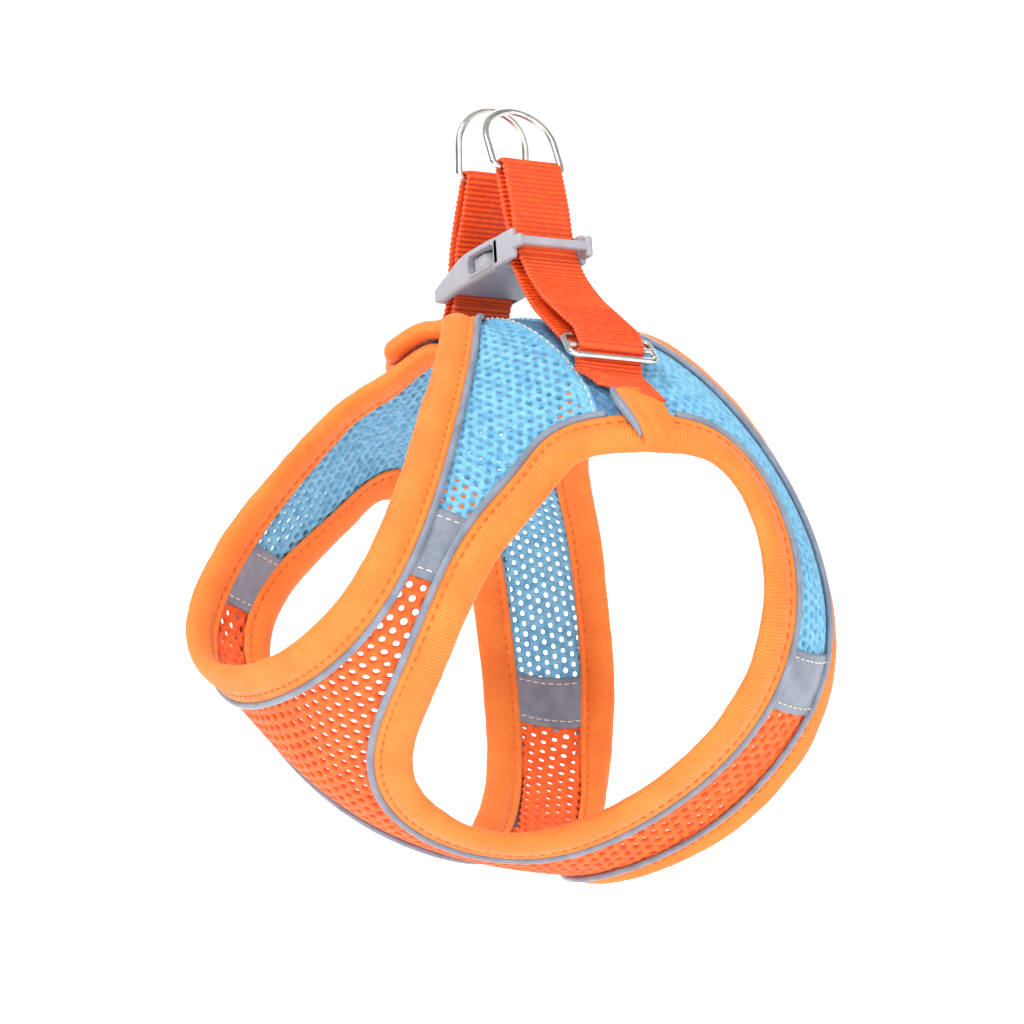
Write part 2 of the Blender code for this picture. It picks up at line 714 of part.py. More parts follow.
def finish(name, base, colour, matrix, smooth_faces=False):
    """Turns a helper shape into a named node with its material."""
    mesh = base.data
    verts = [tuple(v.co) for v in mesh.vertices]
    faces = [tuple(p.vertices) for p in mesh.polygons]
    bpy.data.objects.remove(base, do_unlink=True)
    return new_object(name, verts, faces, colour, smooth_faces, matrix)


def build_slider(label, frame):
    """A flat metal frame with a round middle bar."""
    w, h, t = 14.0 * MM, 6.4 * MM, 0.9 * MM
    base = bevel(box("plate", (-h, -w, -t), (h, w, t)), 0.4 * MM)
    reach = np.array([h - 2.2 * MM, 11.2 * MM, 2 * MM])
    combine(base, [box("window", -reach, reach)], "DIFFERENCE")
    combine(base, [bar("middle", 1.0 * MM, 12.0 * MM)], "UNION")
    finish(f"{label}_slider", base, "metal", frame)


def build_ring(side, label, lean):
    """A D-ring drawn upright over its bar, then leaned about the bar."""
    hw, h, r = RING_HALF_WIDTH, RING_HEIGHT, 2.0 * MM
    line = [(math.sin(a) * r + hw - r, r - math.cos(a) * r) for a in np.linspace(0, PI / 2, 4)]
    arc = h - hw
    line += [(hw * math.cos(a), arc + hw * math.sin(a)) for a in np.linspace(0, PI, 18)]
    line += [(-y, z) for y, z in line[3::-1]]
    path = [np.array([0.0, y, z]) for y, z in line]
    n, frames = len(path), []
    for k, p in enumerate(path):
        tangent = path[(k + 1) % n] - path[k - 1]
        tangent /= np.linalg.norm(tangent)
        up = np.array([1.0, 0.0, 0.0])
        frames.append((p, np.cross(up, tangent), up))
    wire = RING_WIRE_R / math.cos(PI / 8)
    section = [(wire * math.cos(a), wire * math.sin(a)) for a in (np.arange(8) + 0.5) * PI / 4]
    ob = sweep(f"{label}_d_ring", frames, section, "metal", True)
    ob.location = (side * RING_BAR_X, STRAP_Y, RING_BAR_Z)
    ob.rotation_euler = (0, math.radians(side * lean), 0)


def build_buckle():
    place = Matrix.Translation(BUCKLE_AT) @ Matrix.Rotation(math.radians(-BUCKLE_TILT), 4, "Y")
    build_socket(place)
    build_plug(place)
    build_prongs(place)


def build_socket(place):
    length, half = BUCKLE_HALF_LENGTH, 12.8 * MM
    base = box("socket", (-length, -half, -6 * MM), (MOUTH_X, half, 6 * MM))
    bevel(base, 1.2 * MM, 1)
    for v in base.data.vertices:
        share = smooth((-v.co.x - 5 * MM) / (20 * MM))
        v.co.z = v.co.z * (1 - 0.35 * share) - 2.2 * MM * share
        v.co.y *= 1 - 0.05 * share
    cuts = [
        box("cavity", (-11 * MM, -10.4 * MM, -3.3 * MM), (MOUTH_X + MM, 10.4 * MM, 3.3 * MM)),
        box("windows", (-3 * MM, -15 * MM, -2.7 * MM), (MOUTH_X + MM, 15 * MM, 2.7 * MM)),
        box("slot", (-SLOT_OUTER, -10.5 * MM, -9 * MM), (-SLOT_INNER, 10.5 * MM, 9 * MM)),
    ]
    combine(base, cuts, "DIFFERENCE")
    finish("buckle_socket", base, "plastic", place)


def build_plug(place):
    length, half = BUCKLE_HALF_LENGTH, 12.8 * MM
    base = bevel(box("plug", (MOUTH_X + GAP, -half, -4.8 * MM), (length, half, 4.8 * MM)), 0.8 * MM)
    cuts = [
        box("slot", (SLOT_INNER, -10.5 * MM, -9 * MM), (SLOT_OUTER, 10.5 * MM, 9 * MM)),
        box("above", (SLOT_OUTER - MM, -10.5 * MM, 1.5 * MM), (length + MM, 10.5 * MM, 9 * MM)),
        box("below", (SLOT_OUTER - MM, -10.5 * MM, -9 * MM), (length + MM, 10.5 * MM, -1.5 * MM)),
    ]
    combine(base, cuts, "DIFFERENCE")
    tongue = box("tongue", (-2 * MM, -2.6 * MM, -1.6 * MM), (MOUTH_X + MM, 2.6 * MM, 1.6 * MM))
    combine(base, [tongue], "UNION")
    finish("buckle_plug", base, "plastic", place)


def build_prongs(place):
    """The two spring arms that catch in the socket's side windows, each drawn from its own root."""
    for sign, label in ((-1, "front"), (1, "back")):
        outline = [(-0.3, 6.4), (-0.3, 9.2), (-4, 9.6), (-6, 11.6), (-12.8, 11.4)]
        outline += [(-13.7, 9.8), (-18.5, 8.2), (-18.5, 6.4), (-13.5, 7.6), (-6, 7.4)]
        shift = 7.8
        points = [(x * MM, sign * (y - shift) * MM) for x, y in outline]
        count = len(points)
        verts = [(x, y, z) for z in (-2.2 * MM, 2.2 * MM) for x, y in points]
        faces = [tuple(range(count)), tuple(range(count, 2 * count))]
        faces += [(i, (i + 1) % count, (i + 1) % count + count, i + count) for i in range(count)]
        root = place @ Matrix.Translation((MOUTH_X, sign * shift * MM, 0))
        new_object(f"buckle_prong_{label}", verts, faces, "plastic", False, root)


def main():
    for ob in list(bpy.data.objects):
        bpy.data.objects.remove(ob, do_unlink=True)
    build_panels()
    build_bindings()
    build_closure()
    for side, label in ((1, "left"), (-1, "right")):
        build_strap(side, label)
    build_ring(1, "left", LEFT_RING_LEAN)
    build_ring(-1, "right", RIGHT_RING_LEAN)
    build_buckle()
    for mesh in [m for m in bpy.data.meshes if not m.users]:
        bpy.data.meshes.remove(mesh)


main()
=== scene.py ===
"""Looks of a step-in mesh harness: open mesh panels, ribbed bindings, piping, webbing and hardware."""

import math  # noqa: E402

import bmesh  # noqa: E402
import bpy  # noqa: E402
import numpy as np  # noqa: E402
from mathutils import Matrix, Vector  # noqa: E402


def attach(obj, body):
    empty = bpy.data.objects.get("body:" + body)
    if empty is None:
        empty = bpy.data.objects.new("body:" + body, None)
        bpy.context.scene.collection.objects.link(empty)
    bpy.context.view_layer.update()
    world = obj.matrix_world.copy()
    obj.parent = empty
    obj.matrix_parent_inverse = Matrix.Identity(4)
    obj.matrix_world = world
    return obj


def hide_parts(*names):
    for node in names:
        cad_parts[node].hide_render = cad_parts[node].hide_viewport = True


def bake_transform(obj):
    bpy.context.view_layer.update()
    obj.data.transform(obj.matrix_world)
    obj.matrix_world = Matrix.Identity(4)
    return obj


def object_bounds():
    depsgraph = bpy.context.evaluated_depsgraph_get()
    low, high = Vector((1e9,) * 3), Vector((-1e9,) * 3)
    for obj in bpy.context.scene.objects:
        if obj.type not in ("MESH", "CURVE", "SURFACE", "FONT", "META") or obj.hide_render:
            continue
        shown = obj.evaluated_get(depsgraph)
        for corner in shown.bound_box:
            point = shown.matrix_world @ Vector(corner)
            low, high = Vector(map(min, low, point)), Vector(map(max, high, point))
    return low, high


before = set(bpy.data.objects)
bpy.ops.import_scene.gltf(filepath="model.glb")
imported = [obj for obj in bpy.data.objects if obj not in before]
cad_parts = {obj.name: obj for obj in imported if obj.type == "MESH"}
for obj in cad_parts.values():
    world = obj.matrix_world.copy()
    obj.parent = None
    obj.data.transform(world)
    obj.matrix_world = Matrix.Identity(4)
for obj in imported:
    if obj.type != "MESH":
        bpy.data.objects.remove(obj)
cad_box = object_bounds()

MM = 0.001
PI = math.pi

# The camera stands this far from the vest's origin, turned and raised by these angles in degrees.
CAMERA_TURN = 60.605
CAMERA_RISE = -5.994
CAMERA_FAR = 1.07143
CAMERA_OFF = (0.012288, -0.004608)
CAMERA_LENS = 125.56

# Each lamp's place (to the right of the camera, towards it, up), size and watts.
LAMPS = {
    "key": ((-0.55, 0.75, 1.0), 0.45, 11),
    "fill": ((0.9, 0.8, 0.2), 0.7, 2.5),
    "rear": ((0.0, -0.9, 0.9), 0.7, 4),
}
ROOM_STRENGTH = 0.56
ROOM_LEVELS = ((0.38, 0.55), (0.47, 0.10), (0.56, 0.12), (0.66, 0.75))
PAPER_GLOW = 0.62
PAPER_HALF_WIDTH = 12.0
FLOOR_GAP = 0.032
FLOOR_SLOPE = math.radians(9)
FLOOR_NEAR, FLOOR_FAR = -2.6, 2.4
BACKDROP_BEND, BACKDROP_HEIGHT = 1.6, 3.0
SCREEN_AWAY = 2.5

# The vest's surface, as in the part.
RINGS = {
    "half_width": (50.0, 76.0, 75.0, 59.5),
    "low_width": (-13.5, 7.0, 18.0, 4.5),
    "y_middle": (-74.0, -36.0, 0.0, 39.5),
    "y_lean": (32.0, 29.5, 20.0, 3.0),
    "y_bow": (3.0, -20.5, -31.0, -16.5),
    "z_middle": (7.0, -16.5, -32.0, -34.0),
    "z_half": (52.0, 63.5, 76.0, 80.5),
    "z_bow": (-0.5, 12.0, 16.0, 11.0),
}
LEG_MIDDLE = (0.421, 1.688)
LEG_WAVES = ((0.228, -0.146, -0.221, -0.853), (-0.071, -0.003, -0.150, 0.023), (-0.013, 0.048, 0.016, -0.011))
BINDING_WIDTH = 10.4 * MM
BINDING_MIDDLE = 5.0 * MM
MESH_HALF = 1.25 * MM
BACK_T = 0.02
LEFT_FLAP_T = -0.28
LEFT_NECK_T = -0.45
FLAP_SLANT_Q = 0.3
FLAP_DROP = 7.4 * MM
NECK_RAISE = 4.0 * MM
FLAP_BINDING_T = 0.17
STRAP_DIP = 3.0 * MM
BAND_FRONT_T = ((1.65, 1.69), (1.965, 2.01))
BAND_GIRTH_T = ((1.47, 1.47), (1.66, 1.66))
SEAM_YOKE_S = (0.27, 0.40)
SEAM_PATCH_S = (0.44, 0.56)
CLOSURE_S, CLOSURE_T, CLOSURE_HALF = (0.33, 0.75), (-0.21, -0.08), 0.55 * MM

STRAP_HALF_WIDTH = 10.0 * MM
WEB_HALF = 0.65 * MM
STRAP_Y = -14.6 * MM
RING_BAR_X = 11.0 * MM
RING_BAR_Z = 105.6 * MM
RING_WIRE_R = 1.1 * MM
RING_HALF_WIDTH = 11.6 * MM
RING_HEIGHT = 22.0 * MM
RING_CORNER_R = 2.0 * MM
RING_LEAN = {"left": -28.0, "right": -2.0}
STRAP_ENDS = {"left": ((18.0, 75.5), (22.9, 77.0)), "right": ((17.2, 69.0), (21.9, 69.0))}
INNER_RUN = {
    "left": ((40.0, -14.6, 54.5), (31.0, -14.4, 60.5), (23.5, -14.4, 68.0)),
    "right": ((39.5, -14.6, 55.5), (29.0, -14.4, 57.5), (21.0, -14.4, 62.5)),
}
OUTER_RUN = {
    "left": ((43.5, -14.5, 58.5), (35.0, -14.3, 64.0), (28.0, -14.2, 70.0)),
    "right": ((43.5, -14.5, 59.5), (34.0, -14.3, 61.5), (26.0, -14.4, 64.0)),
}
# The strap's sewn end: places (s, t) on the vest and heights in mm.
STRAP_SEAT = ((0.41, 0.715, 3.3), (0.405, 0.67, 3.4), (0.40, 0.625, 3.6))
SLIDER_AT = (55.4, -13.3, 46.0)
SLIDER_WIRE_R = 0.95 * MM
SLIDER_HALF_WIDTH, SLIDER_HALF_HEIGHT, SLIDER_CORNER_R = 13.1 * MM, 5.4 * MM, 2.4 * MM
STRAP_GAP = 0.2 * MM
SLIDER_OUT = (0.62, -0.08, 0.78)
SLIDER_ACROSS = (0.14, 0.98, -0.12)
SIDES = ((1, "left"), (-1, "right"))

# The cloth's patterns: the pitch and radius of its holes, and the pitch of its ribs, threads and stitches.
BLUE_PITCH, BLUE_HOLE = 3.3 * MM, 0.72 * MM
ORANGE_PITCH, ORANGE_HOLE = 4.0 * MM, 0.88 * MM
NET_HALF = 0.85 * MM
# How far a spot may lie outside a triangle and still belong to it: a share of its sides, and a length.
NEAR_SHARE, NEAR_REACH = 0.12, 0.4 * MM
PATCH_PITCH = 3.0 * MM
DIMPLE_DEPTH = 0.4 * MM
LIP_WIDTH = 0.28 * MM
RIB_PITCH = 1.0 * MM
STITCH_PITCH = 3.3 * MM
BAND_STITCH_PITCH = 2.6 * MM
HEM_SPAN = (-0.4 * MM, 4.2 * MM)
HEM_STITCH_PITCH, HEM_THREAD_R = 3.0 * MM, 0.25 * MM
THREAD_STEP = 0.12 * MM
PIPING_STEP = 0.8 * MM
WEB_PITCH = 1.6 * MM
WEB_RIB, WEB_THREAD = 0.24 * MM, 0.07 * MM


# ---------------------------------------------------------------- camera, light and floor


def make_camera():
    a, e = math.radians(CAMERA_TURN), math.radians(CAMERA_RISE)
    back = Vector((math.sin(a) * math.cos(e), -math.cos(a) * math.cos(e), math.sin(e)))
    right = Vector((math.cos(a), math.sin(a), 0))
    up = back.cross(right)
    data = bpy.data.cameras.new("camera")
    data.lens = CAMERA_LENS
    data.sensor_width = 36.0
    data.clip_start, data.clip_end = 0.05, 20.0
    ob = add_object("camera", data)
    place = -right * CAMERA_OFF[0] - up * CAMERA_OFF[1] + back * CAMERA_FAR
    turn = Matrix((right, up, back)).transposed().to_4x4()
    ob.matrix_world = Matrix.Translation(place) @ turn
    bpy.context.scene.camera = ob
    return right, back


def add_lamp(name, place, size, watts):
    """A round lamp that shines at the vest's origin."""
    data = bpy.data.lights.new(name, "AREA")
    data.shape = "DISK"
    data.size = size
    data.energy = watts
    ob = add_object(name, data)
    ob.location = place
    ob.rotation_euler = (-place).to_track_quat("-Z", "Y").to_euler()


def make_world():
    """A soft room, bright above and below and darker at eye level, so that metal has something to mirror."""
    world = bpy.data.worlds.new("studio")
    world.use_nodes = True
    tree = world.node_tree
    place = node(tree, "ShaderNodeTexCoord", {})
    split = node(tree, "ShaderNodeSeparateXYZ", {"Vector": place.outputs["Generated"]})
    span = node(tree, "ShaderNodeMapRange", {"Value": split.outputs["Z"], "From Min": -1.0, "From Max": 1.0})
    shade = node(tree, "ShaderNodeValToRGB", {"Fac": span.outputs["Result"]})
    tree.links.new(shade.outputs["Color"], tree.nodes["Background"].inputs["Color"])
    levels = shade.color_ramp.elements
    levels[0].position, levels[0].color = 0.0, (0.75, 0.75, 0.75, 1)
    levels[1].position, levels[1].color = 1.0, (1.2, 1.2, 1.2, 1)
    for position, level in ROOM_LEVELS:
        levels.new(position).color = (level, level, level, 1)
    tree.nodes["Background"].inputs["Strength"].default_value = ROOM_STRENGTH
    bpy.context.scene.world = world
    bpy.context.scene.view_settings.view_transform = "Standard"


def make_studio(right, back):
    """The room, the lamps, a floor that rises gently and bends up into a backdrop, and a screen before it."""
    make_world()
    flat = Vector((back.x, back.y, 0)).normalized()
    high = Vector((0, 0, 1))
    for name, ((sideways, forwards, rise), size, watts) in LAMPS.items():
        add_lamp(name, right * sideways + flat * forwards + high * rise, size, watts)
    glow = {"Emission_Strength": PAPER_GLOW, "Emission_Color": (1, 1, 1, 1)}
    paper = principled("paper", (0.94, 0.94, 0.94), 0.95, **glow)
    tint(paper, 30, (0.93, 0.93, 0.93), (0.95, 0.95, 0.95))
    low = Vector((0, 0, cad_box[0].z - FLOOR_GAP))
    steep = math.tan(FLOOR_SLOPE)
    steps = [(FLOOR_NEAR, FLOOR_NEAR * steep), (FLOOR_FAR, FLOOR_FAR * steep)]
    for a in np.linspace(FLOOR_SLOPE, PI / 2, 14)[1:]:
        away = BACKDROP_BEND * (math.sin(a) - math.sin(FLOOR_SLOPE))
        rise = BACKDROP_BEND * (math.cos(FLOOR_SLOPE) - math.cos(a))
        steps.append((FLOOR_FAR + away, FLOOR_FAR * steep + rise))
    steps.append((steps[-1][0], steps[-1][1] + BACKDROP_HEIGHT))
    sides = (-PAPER_HALF_WIDTH, PAPER_HALF_WIDTH)
    verts = [low - flat * d + right * w + high * z for d, z in steps for w in sides]
    faces = [(2 * k, 2 * k + 1, 2 * k + 3, 2 * k + 2) for k in range(len(steps) - 1)]
    add_mesh("floor_and_backdrop", verts, faces, paper, keep_facing=True)
    foot = low + flat * SCREEN_AWAY - high * SCREEN_AWAY * steep
    verts = [foot + right * w + high * z for z in (-0.1, 3) for w in (-1.9, 1.3)]
    add_mesh("front_screen", verts, [(0, 1, 3, 2)], paper, keep_facing=True)


# ---------------------------------------------------------------- meshes


def facing_out(verts, faces):
    """Whether the closed faces enclose a positive volume."""
    total = 0.0
    for size in {len(f) for f in faces}:
        part = np.array([f for f in faces if len(f) == size])
        a = verts[part[:, 0]]
        for k in range(1, size - 1):
            total += np.einsum("ij,ij->i", a, np.cross(verts[part[:, k]], verts[part[:, k + 1]])).sum()
    return total > 0


def add_object(name, data):
    ob = bpy.data.objects.new(name, data)
    bpy.context.collection.objects.link(ob)
    return ob


def add_mesh(name, verts, faces, material, keep_facing=False):
    """A smooth-shaded object. Its faces are turned outwards unless they are to keep the way they face."""
    verts = np.array([tuple(v) for v in verts]) if not isinstance(verts, np.ndarray) else verts
    faces = [tuple(int(i) for i in f) for f in faces] if not isinstance(faces, np.ndarray) else faces.tolist()
    if not keep_facing and not facing_out(verts, faces):
        faces = [f[::-1] for f in faces]
    mesh = bpy.data.meshes.new(name)
    mesh.from_pydata(verts.tolist(), [], faces)
    mesh.materials.append(material)
    mesh.polygons.foreach_set("use_smooth", [True] * len(mesh.polygons))
    return add_object(name, mesh)


def settle(ob, body, slot, *nodes):
    """Hides the CAD nodes that a piece stands for and, unless it bends between two, hangs it on its body. The
    slot is not used.
    """
    if nodes:
        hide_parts(*nodes)
    if body:
        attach(ob, body)


def sweep_mesh(name, frames, profile, material, closed=False):
    """A solid along frames (points, across, up) with a profile of shape (frames or 1, m, 2)."""
    p, across, up = frames
    n, m = len(p), profile.shape[1]
    profile = np.broadcast_to(profile, (n, m, 2))
    verts = p[:, None] + across[:, None] * profile[..., :1] + up[:, None] * profile[..., 1:]
    ring = np.arange(n if closed else n - 1)
    a, b = ring * m, (ring + 1) % n * m
    i = np.arange(m)
    j = (i + 1) % m
    a, b = a[:, None], b[:, None]
    grid = np.stack([a + i, a + j, b + j, b + i], -1).reshape(-1, 4).tolist()
    if not closed:
        grid += [list(range(m))[::-1], list(range((n - 1) * m, n * m))]
    return add_mesh(name, verts.reshape(-1, 3), grid, material)


def unit(v):
    return v / np.linalg.norm(v, axis=-1, keepdims=True)


def distances(line):
    """How far along a line each of its points lies."""
    return np.concatenate([[0], np.cumsum(np.linalg.norm(np.diff(line, axis=0), axis=1))])


def resample(points, step, closed=False):
    """Fractional indices of evenly spaced places along a line of points."""
    line = np.vstack([points, points[:1]]) if closed else points
    far = distances(line)
    count = max(2, int(round(far[-1] / step)))
    at = np.linspace(0, far[-1], count + 1)
    if closed:
        at = at[:-1]
    return np.interp(at, far, np.arange(len(far))), far[-1]


def pick(values, at, closed=False):
    values = np.vstack([values, values[:1]]) if closed else values
    k = np.clip(at.astype(int), 0, len(values) - 2)
    f = (at - k)[:, None]
    return values[k] * (1 - f) + values[k + 1] * f


def ripple(count, length, scale, seed):
    """A smooth random line with features about as long as scale."""
    knots = max(4, int(length / scale))
    values = np.random.default_rng(seed).uniform(-1, 1, knots + 3)
    x = np.linspace(0, knots, count)
    k = np.minimum(x.astype(int), knots - 1)
    f = x - k
    f = f * f * (3 - 2 * f)
    return values[k] * (1 - f) + values[k + 1] * f


# ---------------------------------------------------------------- the vest's surface


def smooth(x):
    x = np.clip(x, 0.0, 1.0)
    return x * x * (3.0 - 2.0 * x)


def ring_value(name, s):
    a, b, c, d = RINGS[name]
    w0 = (1 - s) * (1 - 3 * s) * (2 - 3 * s) / 2
    w1 = 9 * s * (1 - s) * (2 - 3 * s) / 2
    w2 = 9 * s * (1 - s) * (3 * s - 1) / 2
    w3 = s * (3 * s - 1) * (3 * s - 2) / 2
    return (w0 * a + w1 * b + w2 * c + w3 * d) * MM


def bare(s, t):
    """The vest's plain surface: s runs from the neck to the rear and t from the back round to the belly."""
    value = {name: ring_value(name, s) for name in RINGS}
    x = value["half_width"] * np.sin(t) + value["low_width"] * np.sin(2 * t)
    y = value["y_middle"] + value["y_lean"] * np.cos(t) + value["y_bow"] * np.cos(2 * t)
    z = value["z_middle"] + value["z_half"] * np.cos(t) + value["z_bow"] * np.cos(2 * t)
    return np.stack([x, y, z], -1)


def slopes(s, t):
    """How the plain surface's points move with s and with t."""
    h = 1e-4
    return (bare(s + h, t) - bare(s - h, t)) / (2 * h), (bare(s, t + h) - bare(s, t - h)) / (2 * h)


def shell(side, s, t, out=0.0):
    """Points and normals of the vest on one side (1 left, -1 right), moved outwards by out."""
    s, t = np.asarray(s, float), np.asarray(t, float)
    along_s, along_t = slopes(s, t)
    n = unit(np.cross(along_t, along_s))
    over = NECK_RAISE * (1 - smooth(s / 0.25))
    dip = STRAP_DIP * np.exp(-(((s - 0.5) / 0.17) ** 2) - ((t - 0.52) / 0.2) ** 2)
    left = over * (1 - smooth((t - 0.30) / 0.5))
    right = (over - FLAP_DROP) * (1 - smooth((t - 0.64) / 0.38))
    side = np.asarray(side, float)
    lift = np.where(side > 0, left, right) - dip
    flip = np.stack(np.broadcast_arrays(side, 1.0, 1.0), -1)
    p = bare(s, t) + n * (lift + out)[..., None]
    return p * flip, n * flip


def on_vest(side, st, out=0.0):
    """The same for an array of (s, t) pairs."""
    return shell(side, st[..., 0], st[..., 1], out)


EDGE_T = np.linspace(-0.7, PI, 480)


def edge_table(rear):
    inward = np.linspace(0.0, 0.3, 121)
    s = 1 - inward if rear else inward
    start = bare(np.full_like(EDGE_T, 1.0 if rear else 0.0), EDGE_T)
    grid = bare(*np.meshgrid(s, EDGE_T, indexing="xy"))
    far = np.linalg.norm(grid - start[:, None], axis=-1)
    return np.array([np.interp(BINDING_WIDTH, f, s) for f in far])


EDGE_S = {rear: edge_table(rear) for rear in (False, True)}


def edge_s(t, rear):
    return np.interp(t, EDGE_T, EDGE_S[rear])


def leg_edge(count):
    f = np.arange(count) / count * 2 * PI
    s, t = LEG_MIDDLE[0] + 0 * f, LEG_MIDDLE[1] + 0 * f
    for k, (cs, ss, ct, st) in enumerate(LEG_WAVES, 1):
        s = s + cs * np.cos(k * f) + ss * np.sin(k * f)
        t = t + ct * np.cos(k * f) + st * np.sin(k * f)
    free = np.stack([s, t], -1)
    for _ in range(2):
        along_s, along_t = slopes(s, t)
        turn_s, turn_t = np.roll(s, -1) - np.roll(s, 1), np.roll(t, -1) - np.roll(t, 1)
        path = along_s * turn_s[:, None] + along_t * turn_t[:, None]
        out = unit(np.cross(path, np.cross(along_t, along_s)))
        a, b, c = (along_s**2).sum(1), (along_s * along_t).sum(1), (along_t**2).sum(1)
        e, g = (along_s * out).sum(1), (along_t * out).sum(1)
        step = BINDING_WIDTH / 2 / (a * c - b * b)
        ds, dt = (c * e - b * g) * step, (a * g - b * e) * step
        away = np.sign(((s - LEG_MIDDLE[0]) * ds + (t - LEG_MIDDLE[1]) * dt).sum())
        s, t = s + away * ds, t + away * dt
    return free, np.stack([s, t], -1)


LEG_FREE, LEG_MESH = leg_edge(1440)


def leg_at(position):
    at = np.atleast_1d(position) % 1.0 * len(LEG_FREE)
    return pick(LEG_FREE, at, True), pick(LEG_MESH, at, True)


def leg_position(value, axis, front=None, top=None):
    keep = np.ones(len(LEG_MESH), bool)
    if front is not None:
        keep &= (LEG_MESH[:, 0] < LEG_MIDDLE[0] + 0.03) == front
    if top is not None:
        keep &= (LEG_MESH[:, 1] < LEG_MIDDLE[1]) == top
    gap = np.abs(LEG_MESH[:, axis] - value)
    gap[~keep] = 9
    return int(gap.argmin()) / len(LEG_MESH)


def border(q, t):
    near, far = edge_s(t, False), edge_s(t, True)
    return np.stack(np.broadcast_arrays(near + (far - near) * q, t), -1)


def flap_top(side, q):
    return np.interp(q, (0.0, FLAP_SLANT_Q), (LEFT_NECK_T, LEFT_FLAP_T)) if side > 0 else BACK_T + 0 * q


def fan_stops():
    (f0, f1), (f2, f3) = BAND_FRONT_T
    (g0, g1), (g2, g3) = BAND_GIRTH_T
    near, far = edge_s(BACK_T, False), edge_s(BACK_T, True)
    top_q = [(s - near) / (far - near) for s in (SEAM_YOKE_S[1], SEAM_PATCH_S[1])]
    return {
        "yoke_seam": (leg_position(SEAM_YOKE_S[0], 0, top=True), top_q[0], BACK_T),
        "neck_top": (leg_position(1.00, 1, front=True), 0.0, BACK_T),
        "front_upper": (leg_position(f0, 1, front=True), 0.0, f1),
        "front_lower": (leg_position(f2, 1, front=True), 0.0, f3),
        "neck_bottom": (leg_position(2.55, 1, front=True), 0.0, PI),
        "rear_bottom": (leg_position(0.76, 0, front=False, top=False), 1.0, PI),
        "girth_lower": (leg_position(g2, 1, front=False), 1.0, g3),
        "girth_upper": (leg_position(g0, 1, front=False), 1.0, g1),
        "rear_top": (leg_position(0.95, 1, front=False), 1.0, BACK_T),
        "patch_seam": (leg_position(SEAM_PATCH_S[0], 0, top=True), top_q[1], BACK_T),
    }


PANEL_SPANS = {
    "yoke": ("yoke_seam", "front_upper"),
    "front_band": ("front_upper", "front_lower"),
    "chest": ("front_lower", "girth_lower"),
    "girth_band": ("girth_lower", "girth_upper"),
    "girth": ("girth_upper", "patch_seam"),
}
# How many columns each open mesh runs on past its first and last seam.
PAST_SEAMS = {"yoke": (0.12, 3.0), "girth": (1.5, 0.5), "chest": (3.0, 1.5)}
# Rough sizes of the surface in mm per unit of t and s, from which the flat layout starts.
GIRTH_PER_T, LENGTH_PER_S = 70, 130


def fan_columns(kind, per_span, extend):
    """Columns (leg position, q, t) between a panel's seams, carried past each end by extend columns."""
    stops = fan_stops()
    names = list(stops)
    i, j = (names.index(n) for n in PANEL_SPANS[kind])
    chain = [stops[n] for n in (names[i : j + 1] if j > i else names[i:] + names[: j + 1])]
    columns = []
    for (a, qa, ta), (b, qb, tb) in zip(chain, chain[1:]):
        step = (b - a + 0.5) % 1.0 - 0.5
        for f in np.arange(per_span) / per_span:
            columns.append((a + step * f, qa + (qb - qa) * f, ta + (tb - ta) * f))
    last = chain[-1]
    columns.append((columns[-1][0] + (last[0] - columns[-1][0] + 0.5) % 1.0 - 0.5, last[1], last[2]))
    columns = np.array(columns)
    first = columns[0] + (columns[0] - columns[1]) * extend[0]
    final = columns[-1] + (columns[-1] - columns[-2]) * extend[1]
    return np.vstack([first, columns, final])


def fan_grid(columns, rows, leg_past=0.0, rim_past=0.0, back_past=0.0):
    """(s, t) of a fan's grid, carried past the leg edge, the rims and the back by lengths in metres."""
    inner = leg_at(columns[:, 0])[1]
    outer = border(columns[:, 1], columns[:, 2])
    length = np.linalg.norm(bare(*outer.T) - bare(*inner.T), axis=1)
    back = np.abs(columns[:, 2] - BACK_T) < 1e-9
    rim = (np.abs(columns[:, 1]) < 1e-6) | (np.abs(columns[:, 1] - 1) < 1e-6)
    past = np.where(back, back_past, np.where(rim, rim_past, 0.0))
    low, high = -leg_past / length, 1 + past / length
    f = low[:, None] + (high - low)[:, None] * np.linspace(0, 1, rows + 1)
    return inner[:, None] * (1 - f[..., None]) + outer[:, None] * f[..., None]


def grid_quads(number):
    """The four corners of each cell in a grid of point numbers."""
    corners = (number[:-1, :-1], number[1:, :-1], number[1:, 1:], number[:-1, 1:])
    return np.stack(corners, -1).reshape(-1, 4)


def grid_triangles(number):
    a, b, c, d = grid_quads(number).T
    return np.concatenate([np.stack([a, b, c], -1), np.stack([a, c, d], -1)])


